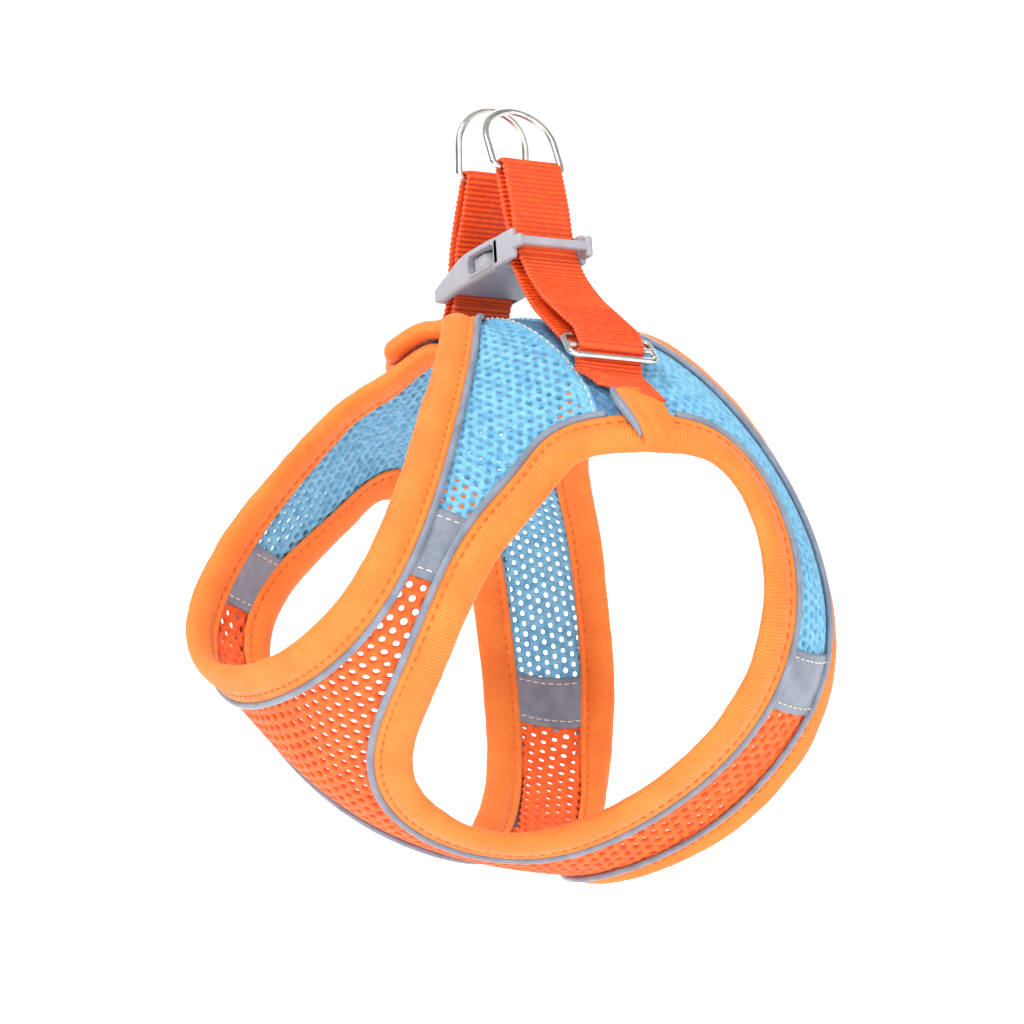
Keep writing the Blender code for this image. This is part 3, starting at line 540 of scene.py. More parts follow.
def panel_domain(side, kind, rows, past):
    """A panel's (s, t) nodes and triangles: its fan and, on the left, its part of the back flap."""
    columns = fan_columns(kind, 14, PAST_SEAMS[kind])
    flap = side > 0 and kind in ("yoke", "girth")
    grid = fan_grid(columns, rows, past, past, 0.0 if flap else past)
    nodes = grid.reshape(-1, 2)
    triangles = grid_triangles(np.arange(len(nodes)).reshape(grid.shape[:2]))
    if not flap:
        return nodes, triangles
    k = np.nonzero(np.abs(columns[:, 2] - BACK_T) < 1e-9)[0]
    q = columns[k, 1]
    joined = k * (rows + 1) + rows
    q = np.append(q, -0.06) if kind == "yoke" else np.insert(q, 0, 1.06)
    share = np.linspace(0, 1.08, 9)
    t = BACK_T + (flap_top(side, np.clip(q, 0, 1)) - BACK_T)[:, None] * share
    more = border(q[:, None], t)
    number = np.arange(more.size // 2).reshape(more.shape[:2]) + len(nodes)
    where = slice(0, len(k)) if kind == "yoke" else slice(1, None)
    number[where, 0] = joined
    nodes = np.vstack([nodes, more.reshape(-1, 2)])
    triangles = np.vstack([triangles, grid_triangles(number)])
    used, index = np.unique(triangles, return_inverse=True)
    return nodes[used], index.reshape(triangles.shape)


# ---------------------------------------------------------------- open mesh panels


def flatten(p, tri, u, held):
    """Lays surface points out flat from a first guess u, with as little stretch as possible.

    held marks the points kept at x = 0, which is the middle line of a mirrored panel.
    """
    e1, e2 = p[tri[:, 1]] - p[tri[:, 0]], p[tri[:, 2]] - p[tri[:, 0]]
    l1 = np.linalg.norm(e1, axis=1)
    x2 = (e1 * e2).sum(1) / np.maximum(l1, 1e-9)
    y2 = np.sqrt(np.maximum((e2**2).sum(1) - x2**2, 1e-14))
    g = u[tri]
    turn = np.sign(np.cross(g[:, 1] - g[:, 0], g[:, 2] - g[:, 0]).sum())
    rest = np.zeros((len(tri), 3, 2))
    rest[:, 1, 0], rest[:, 2, 0], rest[:, 2, 1] = l1, x2, y2 * turn
    n = len(p)
    system = np.zeros((n, n))
    cots = []
    for k in range(3):
        i, j, o = (k + 1) % 3, (k + 2) % 3, k
        v, w = rest[:, i] - rest[:, o], rest[:, j] - rest[:, o]
        cot = np.clip((v * w).sum(1) / np.maximum(np.abs(np.cross(v, w)), 1e-12), 0.02, 20)
        cots.append(cot)
        for r, q, sign in ((i, j, -1), (j, i, -1), (i, i, 1), (j, j, 1)):
            np.add.at(system, (tri[:, r], tri[:, q]), sign * cot)
    hold = np.diag(np.where(held, 1e3, 0.0)) if held.any() else np.diag(np.eye(n)[0] * 1e-3)
    pin = np.diag(np.eye(n)[0] * 1e-3)
    inv_x, inv_y = np.linalg.inv(system + hold), np.linalg.inv(system + pin)
    for _ in range(40):
        now = u[tri]
        s = np.zeros((len(tri), 2, 2))
        for k in range(3):
            i, j = (k + 1) % 3, (k + 2) % 3
            bent, straight = now[:, i] - now[:, j], rest[:, i] - rest[:, j]
            s += cots[k][:, None, None] * bent[:, :, None] * straight[:, None]
        co, si = s[:, 0, 0] + s[:, 1, 1], s[:, 1, 0] - s[:, 0, 1]
        size = np.maximum(np.hypot(co, si), 1e-15)
        co, si = co / size, si / size
        side = np.zeros((n, 2))
        for k in range(3):
            i, j = (k + 1) % 3, (k + 2) % 3
            e = rest[:, i] - rest[:, j]
            turned = np.stack([co * e[:, 0] - si * e[:, 1], si * e[:, 0] + co * e[:, 1]], -1)
            pull = cots[k][:, None] * turned
            np.add.at(side, tri[:, i], pull)
            np.add.at(side, tri[:, j], -pull)
        y_pin = np.zeros(n)
        y_pin[0] = 1e-3 * u[0, 1]
        u = np.stack([inv_x @ side[:, 0], inv_y @ (side[:, 1] + y_pin)], -1)
        if not held.any():
            u -= u.mean(0)
    return u


def look_up(flat, tri, values, spots):
    """Values at flat spots and whether each has one, by the triangle that holds it or nearly holds it."""
    out, inside = look_up_within(flat, tri, values, spots, 1e-7, 1e-9)
    lost = np.flatnonzero(~inside)
    out[lost], inside[lost] = look_up_within(flat, tri, values, spots[lost], NEAR_SHARE, NEAR_REACH)
    return out, inside


def look_up_within(flat, tri, values, spots, slack, reach):
    out, inside = np.zeros((len(spots), values.shape[1])), np.zeros(len(spots), bool)
    order = np.argsort(spots[:, 0])
    xs = spots[order, 0]
    for t in tri:
        a, b, c = flat[t]
        lo, hi = np.minimum(np.minimum(a, b), c), np.maximum(np.maximum(a, b), c)
        near = order[np.searchsorted(xs, lo[0] - reach) : np.searchsorted(xs, hi[0] + reach)]
        near = near[(spots[near, 1] >= lo[1] - reach) & (spots[near, 1] <= hi[1] + reach)]
        if not len(near):
            continue
        area = np.cross(b - a, c - a)
        if abs(area) < 1e-14:
            continue
        q = spots[near] - a
        w1, w2 = np.cross(q, c - a) / area, np.cross(b - a, q) / area
        hit = (w1 >= -slack) & (w2 >= -slack) & (w1 + w2 <= 1 + slack)
        k = near[hit]
        w1, w2 = w1[hit, None], w2[hit, None]
        out[k] = values[t[0]] * (1 - w1 - w2) + values[t[1]] * w1 + values[t[2]] * w2
        inside[k] = True
    return out, inside


ANGLES = np.arange(12) * PI / 6
ROUND = np.stack([np.cos(ANGLES), np.sin(ANGLES)], -1)


def cell_outline(pitch):
    """A lattice cell's twelve outer points: corners at the odd places and edge middles at the even ones."""
    r = np.where(np.arange(12) % 2 == 1, pitch / math.sqrt(3), pitch / 2)
    return ROUND * r[:, None]


def lattice(low, high, pitch):
    rise = pitch * math.sqrt(3) / 2
    rows = np.arange(math.floor(low[1] / rise) - 1, math.ceil(high[1] / rise) + 2)
    cols = np.arange(math.floor(low[0] / pitch) - 2, math.ceil(high[0] / pitch) + 3)
    r, c = (g.ravel() for g in np.meshgrid(rows, cols, indexing="ij"))
    return np.stack([(c + 0.5 * (r % 2)) * pitch, r * rise], -1)


def open_mesh(name, side, panel, look, pitch, hole, mirror=False):
    """A knitted sheet with an even pattern of round holes, laid on the surface through the flat layout."""
    flat, tri, values = panel
    centres = lattice(flat.min(0), flat.max(0), pitch)
    if mirror:
        centres = np.vstack([centres, centres * [-1, 1]])
        keys = np.round(centres / (0.02 * MM)).astype(int)
        centres = centres[np.unique(keys, axis=0, return_index=True)[1]]
    jitter = np.random.default_rng(len(centres)).normal(0, 1, (len(centres), 3))
    outer = centres[:, None] + cell_outline(pitch)
    size = hole * (1 + 0.05 * jitter[:, :1, None])
    oval = ROUND * [1.12, 0.95]
    middle = centres[:, None] + 0.06 * MM * jitter[:, None, 1:]
    mid = middle + oval * size
    lip = middle + oval * (size + LIP_WIDTH)

    def place(spots):
        probe = spots.reshape(-1, 2)
        hand = np.full(len(probe), float(side))
        if mirror:
            hand = np.where(probe[:, 0] < 0, -1.0, 1.0)
            probe = np.stack([np.abs(probe[:, 0]), probe[:, 1]], -1)
        st, ok = look_up(flat, tri, values, probe)
        return st, hand, ok.reshape(spots.shape[:2]).all(1)

    ok = place(outer)[2]
    outer, mid, lip = outer[ok], mid[ok], lip[ok]
    n = len(outer)
    keys = np.round(outer.reshape(-1, 2) / (0.05 * MM)).astype(int)
    _, first, shared = np.unique(keys, axis=0, return_index=True, return_inverse=True)
    shared = shared.reshape(-1)
    rim = outer.reshape(-1, 2)[first]
    m = len(rim)
    layers = []
    high, low = NET_HALF, NET_HALF * 0.86
    for spots, heights in ((rim[None], (high, -high)), (lip, (low, -low)), (mid, (0.0,))):
        st, hand, _ = place(spots)
        p, nrm = on_vest(hand, st)
        p[(hand > 0) & (np.abs(p[:, 0]) < 1e-7), 0] = 0
        layers += [p + nrm * h for h in heights]
    verts = np.vstack(layers)
    rim_up, rim_down = shared.reshape(n, 12), shared.reshape(n, 12) + m
    ring = np.arange(n * 12).reshape(n, 12)
    lip_up, lip_down, wall = ring + 2 * m, ring + 2 * m + 12 * n, ring + 2 * m + 24 * n
    faces = []
    for one, two in ((rim_up, lip_up), (lip_up, wall), (wall, lip_down), (lip_down, rim_down)):
        faces.append(np.stack([one, np.roll(one, -1, 1), np.roll(two, -1, 1), two], -1).reshape(-1, 4))
    edges = np.stack([rim_up, np.roll(rim_up, -1, 1)], -1).reshape(-1, 2)
    code = np.sort(edges, 1) @ [m + 1, 1]
    _, where, count = np.unique(code, return_index=True, return_counts=True)
    loose = edges[where[count == 1]]
    faces.append(np.stack([loose[:, 1], loose[:, 0], loose[:, 0] + m, loose[:, 1] + m], -1))
    ob = add_mesh(name, verts, np.vstack(faces), LOOKS[look])
    return ob


def panel_flat(side, kind, rows, past):
    """A panel's flat layout, its triangles and their (s, t)."""
    st, tri = panel_domain(side, kind, rows, past)
    points = on_vest(side, st)[0]
    guess = np.stack([(PI - st[:, 1]) * GIRTH_PER_T * MM, st[:, 0] * LENGTH_PER_S * MM], -1)
    held = (np.abs(st[:, 1] - PI) < 1e-6) & (kind == "chest")
    return flatten(points, tri, guess, held), tri, st


def build_panels():
    for side, label in SIDES:
        for kind in ("yoke", "girth"):
            panel = panel_flat(side, kind, 9, 3.6 * MM)
            ob = open_mesh(f"{label}_{kind}_panel_mesh", side, panel, "blue_mesh", BLUE_PITCH, BLUE_HOLE)
            settle(ob, "vest", "blue_mesh", f"{label}_{kind}_panel")
        build_patch(side, label)
        build_hem(side, label, "yoke")
        build_hem(side, label, "girth")
    panel = panel_flat(1, "chest", 12, 5.0 * MM)
    ob = open_mesh("chest_panel_mesh", 1, panel, "orange_mesh", ORANGE_PITCH, ORANGE_HOLE, mirror=True)
    settle(ob, "vest", "orange_mesh", "chest_panel")


def seam_line(side, seam):
    """(s, t) along a back seam from under the leg binding, over the back and to the end of the flap."""
    count = 240
    p, q, t = fan_stops()[seam]
    inner, outer = leg_at(p)[1][0], border(q, t)
    f = np.linspace(-0.04, 1 if side > 0 else 1.06, count)[:, None]
    line = inner * (1 - f) + outer * f
    if side > 0:
        line = np.vstack([line[:-1], border(q, np.linspace(t, flap_top(side, q) - 0.03, count // 2))])
    at, _ = resample(bare(*line.T), 0.5 * MM)
    return pick(line, at)


def dimples(points, half, depth, pitch):
    """Heights of a close knit's face, with rows of small pits."""
    far = np.cumsum(np.linalg.norm(np.diff(points, axis=0, prepend=points[:1]), axis=-1), axis=0)
    wide = np.cumsum(np.linalg.norm(np.diff(points, axis=1, prepend=points[:, :1]), axis=-1), axis=1)
    u, v = 2 * PI * far / pitch, 2 * PI * wide / (pitch * 0.8)
    return half - depth * smooth(np.cos(u) * np.cos(v) * 1.6 - 0.2)


def slab(name, side, st, low, high, look):
    """A closed sheet between two heights over the vest's surface."""
    layers = [on_vest(side, st, out)[0].reshape(-1, 3) for out in (high, low)]
    return add_mesh(name, np.vstack(layers), slab_faces(*st.shape[:2]), LOOKS[look])


def knit_slab(name, side, st, half, pitch, look):
    rise = dimples(on_vest(side, st)[0], half, DIMPLE_DEPTH, pitch)
    return slab(name, side, st, -rise, rise, look)


def build_patch(side, label):
    """The close-knit strip between the yoke and the rear panel, dimpled like the mesh beside it."""
    front, rear = seam_line(side, "yoke_seam"), seam_line(side, "patch_seam")
    rear = pick(rear, np.linspace(0, len(rear) - 1.001, len(front)))
    w = np.linspace(-0.12, 1.12, 44)[None, :, None]
    st = front[:, None] * (1 - w) + rear[:, None] * w
    ob = knit_slab(f"{label}_back_patch_knit", side, st, MESH_HALF - 0.25 * MM, PATCH_PITCH, "patch")
    flat_size(on_vest(side, st)[0])
    settle(ob, "vest", "patch", f"{label}_back_patch")


def build_hem(side, label, kind):
    """The turned edge of a mesh panel along its back seam, with a white row of stitches."""
    line = seam_line(side, "yoke_seam" if kind == "yoke" else "patch_seam")
    inward = -1 if kind == "yoke" else 1
    scale = np.linalg.norm(slopes(line[:, 0], line[:, 1])[0], axis=-1)
    w = np.linspace(*HEM_SPAN, 24)
    st = np.stack(np.broadcast_arrays(line[:, :1] + inward * w / scale[:, None], line[:, 1:]), -1)
    if kind == "yoke":
        st[..., 0] = np.maximum(st[..., 0], edge_s(st[..., 1], False) - 0.02)
    else:
        st[..., 0] = np.minimum(st[..., 0], edge_s(st[..., 1], True) + 0.02)
    ob = knit_slab(f"{label}_{kind}_hem", side, st, MESH_HALF + 0.15 * MM, BLUE_PITCH, "blue_mesh")
    settle(ob, "vest", "blue_mesh")
    for sign, hand in ((1, "outer"), (-1, "inner")):
        # The seventh row of points is where the hem is sewn.
        row = st[:, 6]
        p, n = on_vest(side, row, sign * (MESH_HALF + 0.2 * MM))
        name = f"{label}_{kind}_hem_stitches_{hand}"
        add_stitches(name, p, n * sign, "cream", "blue_mesh", HEM_STITCH_PITCH, HEM_THREAD_R)


def stretched_rows(rows, count):
    """Each row drawn out evenly to count values."""
    here, there = np.linspace(0, 1, count), np.linspace(0, 1, rows.shape[1])
    return np.array([np.interp(here, there, row) for row in rows])


def build_bands():
    """The reflective tapes, a little thicker than the mesh ends that they cover."""
    for side, label in SIDES:
        for kind in ("front_band", "girth_band"):
            columns = fan_columns(kind, 24, (1.2, 1.2))
            st = fan_grid(columns, 40)
            count = st.shape[:2]
            wave = 0.10 * MM * np.random.default_rng(side + 5).normal(0, 1, (7, 9))
            rise = stretched_rows(stretched_rows(wave, count[1]).T, count[0]).T
            half = MESH_HALF + 0.35 * MM
            ob = slab(f"{label}_{kind}_tape", side, st, -half + rise, half + rise, "reflective")
            size = flat_size(on_vest(side, st, half + rise)[0])
            settle(ob, "vest", "reflective", f"{label}_{kind}")
            for end, k in (("top", 3), ("bottom", -4)):
                for out, hand in ((half + 0.1 * MM, "outer"), (-half - 0.1 * MM, "inner")):
                    p, n = on_vest(side, st[k], out + rise[k])
                    name = f"{label}_{kind}_stitches_{end}_{hand}"
                    add_stitches(name, p, n, "cream", "reflective", BAND_STITCH_PITCH)


def slab_faces(nc, nr):
    """Faces of a closed slab whose upper points come first and whose lower points follow in the same grid."""
    idx = np.arange(nc * nr).reshape(nc, nr)
    quads = grid_quads(idx)
    loop = np.concatenate([idx[:, 0], idx[-1, 1:], idx[-2::-1, -1], idx[0, -2:0:-1]])
    step = np.roll(loop, -1)
    walls = np.stack([loop, loop + nc * nr, step + nc * nr, step], -1)
    return np.vstack([quads, quads[:, ::-1] + nc * nr, walls])


def flat_size(points):
    a = np.linalg.norm(np.diff(points, axis=0), axis=-1).sum(0).mean()
    b = np.linalg.norm(np.diff(points, axis=1), axis=-1).sum(1).mean()
    return float(a), float(b)


# ---------------------------------------------------------------- stitches


def add_stitches(name, points, normals, look, slot, pitch=STITCH_PITCH, radius=0.21 * MM, closed=False):
    """Short threads lying along a line, each sunk at both ends."""
    at, _ = resample(points, THREAD_STEP, closed)
    p, n = pick(points, at, closed), unit(pick(normals, at, closed))
    step = max(6, int(pitch / THREAD_STEP))
    run = max(5, int(step * 0.68))
    verts, faces = [], []
    sides, rings = 6, 6
    turn = np.arange(sides) / sides * 2 * PI
    f = np.linspace(0, 1, rings)
    thick = radius * (0.45 + 0.55 * np.sin(PI * np.clip(f, 0.06, 0.94)) ** 0.6)
    sink = radius * (1.6 * np.sin(PI * f) ** 0.7 - 0.9)
    for start in range(step // 3, len(p) - run - 1, step):
        rows = np.linspace(start, start + run, rings).astype(int)
        line, up = p[rows], n[rows]
        across = unit(np.cross(up, unit(line[-1] - line[0])))
        base = len(verts)
        for k in range(rings):
            spoke = np.cos(turn)[:, None] * across[k] + np.sin(turn)[:, None] * up[k]
            verts += list(line[k] + up[k] * sink[k] + thick[k] * spoke)
        for a in range(base, base + (rings - 1) * sides, sides):
            b = a + sides
            faces += [(a + i, a + (i + 1) % sides, b + (i + 1) % sides, b + i) for i in range(sides)]
        last = base + (rings - 1) * sides
        faces += [tuple(range(base, base + sides))[::-1], tuple(range(last, last + sides))]
    settle(add_mesh(name, np.array(verts), faces, LOOKS[look]), "vest", slot)


# ---------------------------------------------------------------- bindings and piping


def edge_frames(side, mesh_st, free_st):
    m, n = on_vest(side, mesh_st)
    f = on_vest(side, free_st)[0]
    across = f - m
    across = across - n * (across * n).sum(1)[:, None]
    return m, unit(across), n


def even_frames(whole, step, closed=False):
    """The same frames at even steps along the binding's middle, and how long that is."""
    at, length = resample(whole[0] + whole[1] * BINDING_MIDDLE, step, closed)
    p, across, up = (pick(a, at, closed) for a in whole)
    return (p, unit(across), unit(up)), length


def rim_frames(rear, step):
    parts = []
    for side in (1, -1):
        t = np.linspace(flap_top(side, float(rear)) - FLAP_BINDING_T, PI, 900)
        mesh = np.stack([edge_s(t, rear), t], -1)
        free = np.stack([np.full_like(t, 1.0 if rear else 0.0), t], -1)
        part = edge_frames(side, mesh, free)
        parts.append(part if side > 0 else tuple(a[::-1][1:] for a in part))
    whole = [np.vstack([a, b]) for a, b in zip(*parts)]
    return even_frames(whole, step)


def leg_frames(side, step, start=0.0, end=1.0):
    closed = end - start >= 1.0
    position = np.linspace(start, end, 1440, endpoint=not closed)
    free, mesh = leg_at(position)
    whole = edge_frames(side, mesh, free)
    return even_frames(whole, step, closed)


# The upper half of the binding's section in mm, from the mesh's edge to the free edge.
BINDING_SHAPE = np.array(
    [(-0.5, 1.5), (0.2, 1.95), (1.0, 2.0), (1.7, 1.7), (2.3, 1.72), (3.1, 2.25), (4.6, 2.75), (6.4, 2.9)]
    + [(8.2, 2.6), (9.6, 1.95), (10.6, 1.05)]
)
BINDING_TIP = (10.95, 0.0)
SEWN_IN, SEWN_HIGH = 1.95 * MM, 1.74 * MM
BINDING_MOUTH = np.array([(-0.5, -1.36), (2.4, -1.36), (5.2, -1.36), (5.2, 1.36), (2.4, 1.36), (-0.5, 1.36)])


def waves(count, length, pitch):
    """A cosine along a length, in whole waves of about the pitch."""
    return np.cos(2 * PI * np.linspace(0, length, count) / (length / round(length / pitch)))


def binding_profile(count, length, seed, closed, round_ends):
    """The folded tape: two flat lips with a sewn groove, a gap for the mesh and a soft ribbed edge."""
    upper = BINDING_SHAPE * MM
    lower = (upper * [1, -1])[::-1]
    shape = np.vstack([upper, [np.array(BINDING_TIP) * MM], lower, BINDING_MOUTH * MM])
    far = np.linspace(0, length, count)
    rib, pull = waves(count, length, RIB_PITCH), waves(count, length, STITCH_PITCH)
    slow, fine = ripple(count, length, 11 * MM, seed), ripple(count, length, 4 * MM, seed + 1)
    if closed:
        fade = smooth(np.minimum(far, length - far) / (12 * MM))
        slow, fine = slow * fade, fine * fade
    x, y = shape[:, 0], shape[:, 1]
    ribbed = smooth((x - 2.3 * MM) / (1.2 * MM))
    groove = np.exp(-(((x - 1.9 * MM) / (0.7 * MM)) ** 2))
    soft = smooth((x - 1.0 * MM) / (5 * MM))
    sign = np.sign(y)
    sign[-len(BINDING_MOUTH) :] = 0
    profile = np.broadcast_to(shape, (count, len(shape), 2)).copy()
    profile[..., 1] += sign * ribbed * 0.11 * MM * rib[:, None]
    profile[..., 1] += sign * groove * 0.10 * MM * pull[:, None]
    profile[..., 1] += sign * soft * (0.16 * slow + 0.08 * fine)[:, None] * MM
    profile[..., 0] += (x > 9 * MM) * (0.08 * rib + 0.20 * slow + 0.10 * fine)[:, None] * MM
    if round_ends:
        near_end = np.clip(1 - np.minimum(far, length - far) / (3.5 * MM), 0, 1)
        cap = np.sqrt(np.clip(1 - 0.98 * near_end**2, 0, 1))
        profile[..., 1] *= cap[:, None]
        narrow = (0.55 + 0.45 * cap)[:, None]
        profile[..., 0] = BINDING_MIDDLE + (profile[..., 0] - BINDING_MIDDLE) * narrow
    return profile


def circle(radius, sides=12, wide=1.0, high=1.0):
    turn = np.arange(sides) / sides * 2 * PI
    return radius * np.stack([np.cos(turn) * wide, np.sin(turn) * high], -1)


def add_piping(name, frames, cad_node):
    profile = np.array([-1.15 * MM, MESH_HALF + 0.6 * MM]) + circle(0.95 * MM, wide=1.15)
    settle(sweep_mesh(name, frames, profile[None], LOOKS["piping"]), "vest", "piping", cad_node)


def add_binding(label, frames, length, seed, closed=False, round_ends=False):
    profile = binding_profile(len(frames[0]), length, seed, closed, round_ends)
    ob = sweep_mesh(f"{label}_binding_tape", frames, profile, LOOKS["binding"], closed)
    # The rib heights steer the painted shade between the ribs.
    shade_grooves(ob, waves(len(profile), length, RIB_PITCH)[:, None])
    settle(ob, "vest", "binding", f"{label}_binding")
    for sign, hand in ((1, "outer"), (-1, "inner")):
        line = frames[0] + frames[1] * SEWN_IN + frames[2] * sign * SEWN_HIGH
        name = f"{label}_binding_tape_stitches_{hand}"
        add_stitches(name, line, frames[2] * sign, "thread", "binding", closed=closed)


def build_bindings():
    step = RIB_PITCH / 4
    for rear, label, seed in ((False, "neck", 11), (True, "rear", 21)):
        frames, length = rim_frames(rear, step)
        add_binding(label, frames, length, seed, round_ends=True)
        frames, _ = rim_frames(rear, PIPING_STEP)
        add_piping(f"{label}_piping_cord", tuple(a[12:-12] for a in frames), f"{label}_piping")
    wrap_from, wrap_to = leg_position(0.29, 0, top=True), leg_position(0.50, 0, top=True)
    for side, label in SIDES:
        frames, length = leg_frames(side, step)
        add_binding(f"{label}_leg", frames, length, 31 + side, closed=True)
        frames, _ = leg_frames(side, PIPING_STEP, wrap_from, wrap_from + (wrap_to - wrap_from) % 1.0)
        add_piping(f"{label}_leg_piping_cord", frames, f"{label}_leg_piping")
        build_flap_edge(side, label, step)
        build_wrap(side, label)


def build_flap_edge(side, label, step):
    q = np.linspace(0.0, 1.0, 400)
    s, t = border(q, flap_top(side, q)).T
    point, n = shell(side, s, t)
    ahead = shell(side, s, t - FLAP_BINDING_T)[0]
    across = ahead - point
    across = unit(across - n * (across * n).sum(1)[:, None])
    at, length = resample(point, step)
    frames = (pick(point, at), unit(pick(across, at)), unit(pick(n, at)))
    add_binding(f"{label}_flap", frames, length, 41 + side)


# The turned length's line in mm, from the mesh (x below 0) over the leg binding's free edge and under it.
WRAP_RUN = ((-9.0, 1.7), (-6.5, 2.2), (-4.0, 2.9), (-1.5, 3.4), (1.0, 3.6), (3.5, 3.7), (6.0, 3.75))
WRAP_RUN += ((8.2, 3.3), (10.0, 2.4), (11.1, 1.2), (11.6, -0.2), (11.4, -1.6), (10.6, -2.6))
WRAP_THICK = 0.9 * MM
WRAP_WIDTH = 17 * MM


def wrap_grid(side, u, x, rise):
    """Points over the leg binding: u runs rearwards along it and x runs from the mesh to its free edge."""
    middle = leg_position(0.385, 0, top=True)
    round_hole = leg_frames(1, 1.0 * MM)[1]
    free, mesh = leg_at((middle - u / round_hole).ravel())
    m, across, n = (a.reshape(*u.shape, 3) for a in edge_frames(side, mesh, free))
    return m + across * x[..., None] + n * rise[..., None], n


def build_wrap(side, label):
    """The rear panel's bound edge, which crosses the leg binding, turned round it and gathered there."""
    run = np.array(WRAP_RUN)
    far = distances(run)
    v = np.linspace(0, 1, 60)
    x, y = (np.interp(v * far[-1], far, column) * MM for column in run.T)
    start = (-9.5 + 9.5 * smooth(v * 1.15)) * MM
    share = np.linspace(0, 1, 72)[:, None]
    u = start + share * (WRAP_WIDTH - 0.35 * start)
    x = x * (1 - (0.08 + 0.12 * smooth(share * 1.1)) * (x > 0))
    y = np.broadcast_to(y, u.shape)
    lift = 1.0 * MM * (1 - smooth(share * 1.15))
    bulge = 0.5 * MM * np.sin(PI * np.clip(share * 1.3, 0, 1))
    crease = np.sin(9 * share + 2.6 * v + 0.5) + 0.6 * np.sin(17 * share - 3 * v)
    crease = 0.22 * MM * crease * smooth(share * 4) * (1 - 0.7 * smooth(share * 1.2 - 0.2))
    tail = 1 - smooth((share - 0.75) / 0.25)
    rise = y + (lift + bulge + crease) * tail - 0.5 * MM * (1 - tail)
    layers = [wrap_grid(side, u, x, height)[0].reshape(-1, 3) for height in (rise, rise - WRAP_THICK)]
    faces = slab_faces(*u.shape)
    ob = add_mesh(f"{label}_wrap_binding_tape", np.vstack(layers), faces, LOOKS["binding"])
    settle(ob, "vest", "binding", f"{label}_wrap_binding")
    # The piping runs along the strip's first edge, over the leg binding.
    edge = np.s_[:1, :44]
    line, n = (a[0] for a in wrap_grid(side, u[edge] - 1.2 * MM, x[edge], y[edge] + 0.9 * MM))
    along = unit(np.gradient(line, axis=0))
    across = unit(np.cross(n, along))
    f = np.linspace(0, 1, len(line))
    thick = 1.35 * MM * np.sqrt(np.clip(1 - ((f - 0.45) / 0.56) ** 2, 0.02, 1))
    frames = (line, across, unit(np.cross(along, across)))
    ring = circle(1.0, high=0.9) * thick[:, None, None]
    ob = sweep_mesh(f"{label}_wrap_piping_cord", frames, ring, LOOKS["piping"])
    settle(ob, "vest", "piping", f"{label}_wrap_piping")


def build_closure():
    """The hook and loop strips between the two back flaps."""
    for name, side, out in (("loop_strip", 1, -2.95 * MM), ("hook_strip", -1, 2.5 * MM)):
        s = np.linspace(*CLOSURE_S, 40)
        t = np.linspace(*CLOSURE_T, 14)
        grid = np.stack(np.meshgrid(s, t if side > 0 else -t, indexing="ij"), -1)
        nap = 0.12 * MM * np.random.default_rng(3).uniform(-1, 1, grid.shape[:2])
        low, high = out - CLOSURE_HALF + nap, out + CLOSURE_HALF + nap
        ob = slab(f"{name}_tape", side, grid, low, high, "hook_tape")
        settle(ob, "vest", "hook_tape", name)


# ---------------------------------------------------------------- webbing


def hand_of(side):
    return np.array([side, 1.0, 1.0])


def slider_frame(side):
    out = unit(np.array(SLIDER_OUT) * hand_of(side))
    across = np.array(SLIDER_ACROSS) * hand_of(side)
    across = unit(across - out * across.dot(out))
    along = np.cross(across, out)
    if along[2] < 0:
        along, across = -along, -across
    return np.array(SLIDER_AT) * MM * hand_of(side), along, across, out


def curve(points, count):
    """A smooth line through the points, with count steps from each to the next."""
    pts = [2 * np.array(points[0]) - points[1], *map(np.array, points), 2 * np.array(points[-1]) - points[-2]]
    line = []
    for a, b, c, d in zip(pts, pts[1:], pts[2:], pts[3:]):
        for k in range(count):
            f = k / count
            square, cube = 2 * a - 5 * b + 4 * c - d, 3 * b - a - 3 * c + d
            line.append(0.5 * (2 * b + (c - a) * f + square * f * f + cube * f**3))
    line.append(pts[-2])
    return np.array(line)


def add_webbing(name, line, widths, cad_node, body, seed):
    """A length of ribbed webbing along a line, with its own width direction at each point."""
    at, length = resample(line, WEB_PITCH / 6)
    p, w = pick(line, at), unit(pick(widths, at))
    up = unit(np.cross(w, unit(np.gradient(p, axis=0))))
    far = 2 * PI * np.linspace(0, length, len(p)) / WEB_PITCH
    rib, between = np.cos(far)[:, None], np.sin(far)[:, None]
    x = np.array([-1.0, -0.985, -0.94, *np.linspace(-0.90, 0.90, 27), 0.94, 0.985, 1.0]) * STRAP_HALF_WIDTH
    thick = np.array([0.25, 0.6, 0.9, *[1.0] * 27, 0.9, 0.6, 0.25]) * WEB_HALF
    thread = np.cos(np.arange(len(x)) * PI) * between
    edge = np.abs(x) > 0.93 * STRAP_HALF_WIDTH
    relief = (WEB_RIB * rib + WEB_THREAD * thread) * (~edge)
    bow = 0.22 * MM * ripple(len(p), length, 14 * MM, seed)[:, None] * ((x / STRAP_HALF_WIDTH) ** 2 - 0.4)
    wide = x + np.sign(x) * edge * WEB_RIB * rib
    top, bottom = (np.stack([wide, half + relief + bow], -1) for half in (thick, -thick))
    ob = sweep_mesh(name, (p, w, up), np.concatenate([top, bottom[:, ::-1]], 1), LOOKS["webbing"])
    # The rib and thread heights steer the painted shade in the weave's hollows.
    shade_grooves(ob, 0.7 * rib + 0.35 * np.concatenate([thread, thread[:, ::-1]], 1))
    settle(ob, body, "webbing", cad_node)
    return ob


def shade_grooves(ob, height):
    """Keeps how raised each point of the weave is, for the material to paint shade into its hollows."""
    count = len(ob.data.vertices)
    height = np.broadcast_to(height, (height.shape[0], count // height.shape[0])).ravel()
    ob.data.attributes.new("raised", "FLOAT", "POINT").data.foreach_set("value", height.astype(np.float32))


def blend_width(count, low, high):
    f = smooth(np.linspace(0, 1, count))[:, None]
    return np.array(low) * (1 - f) + np.array(high) * f


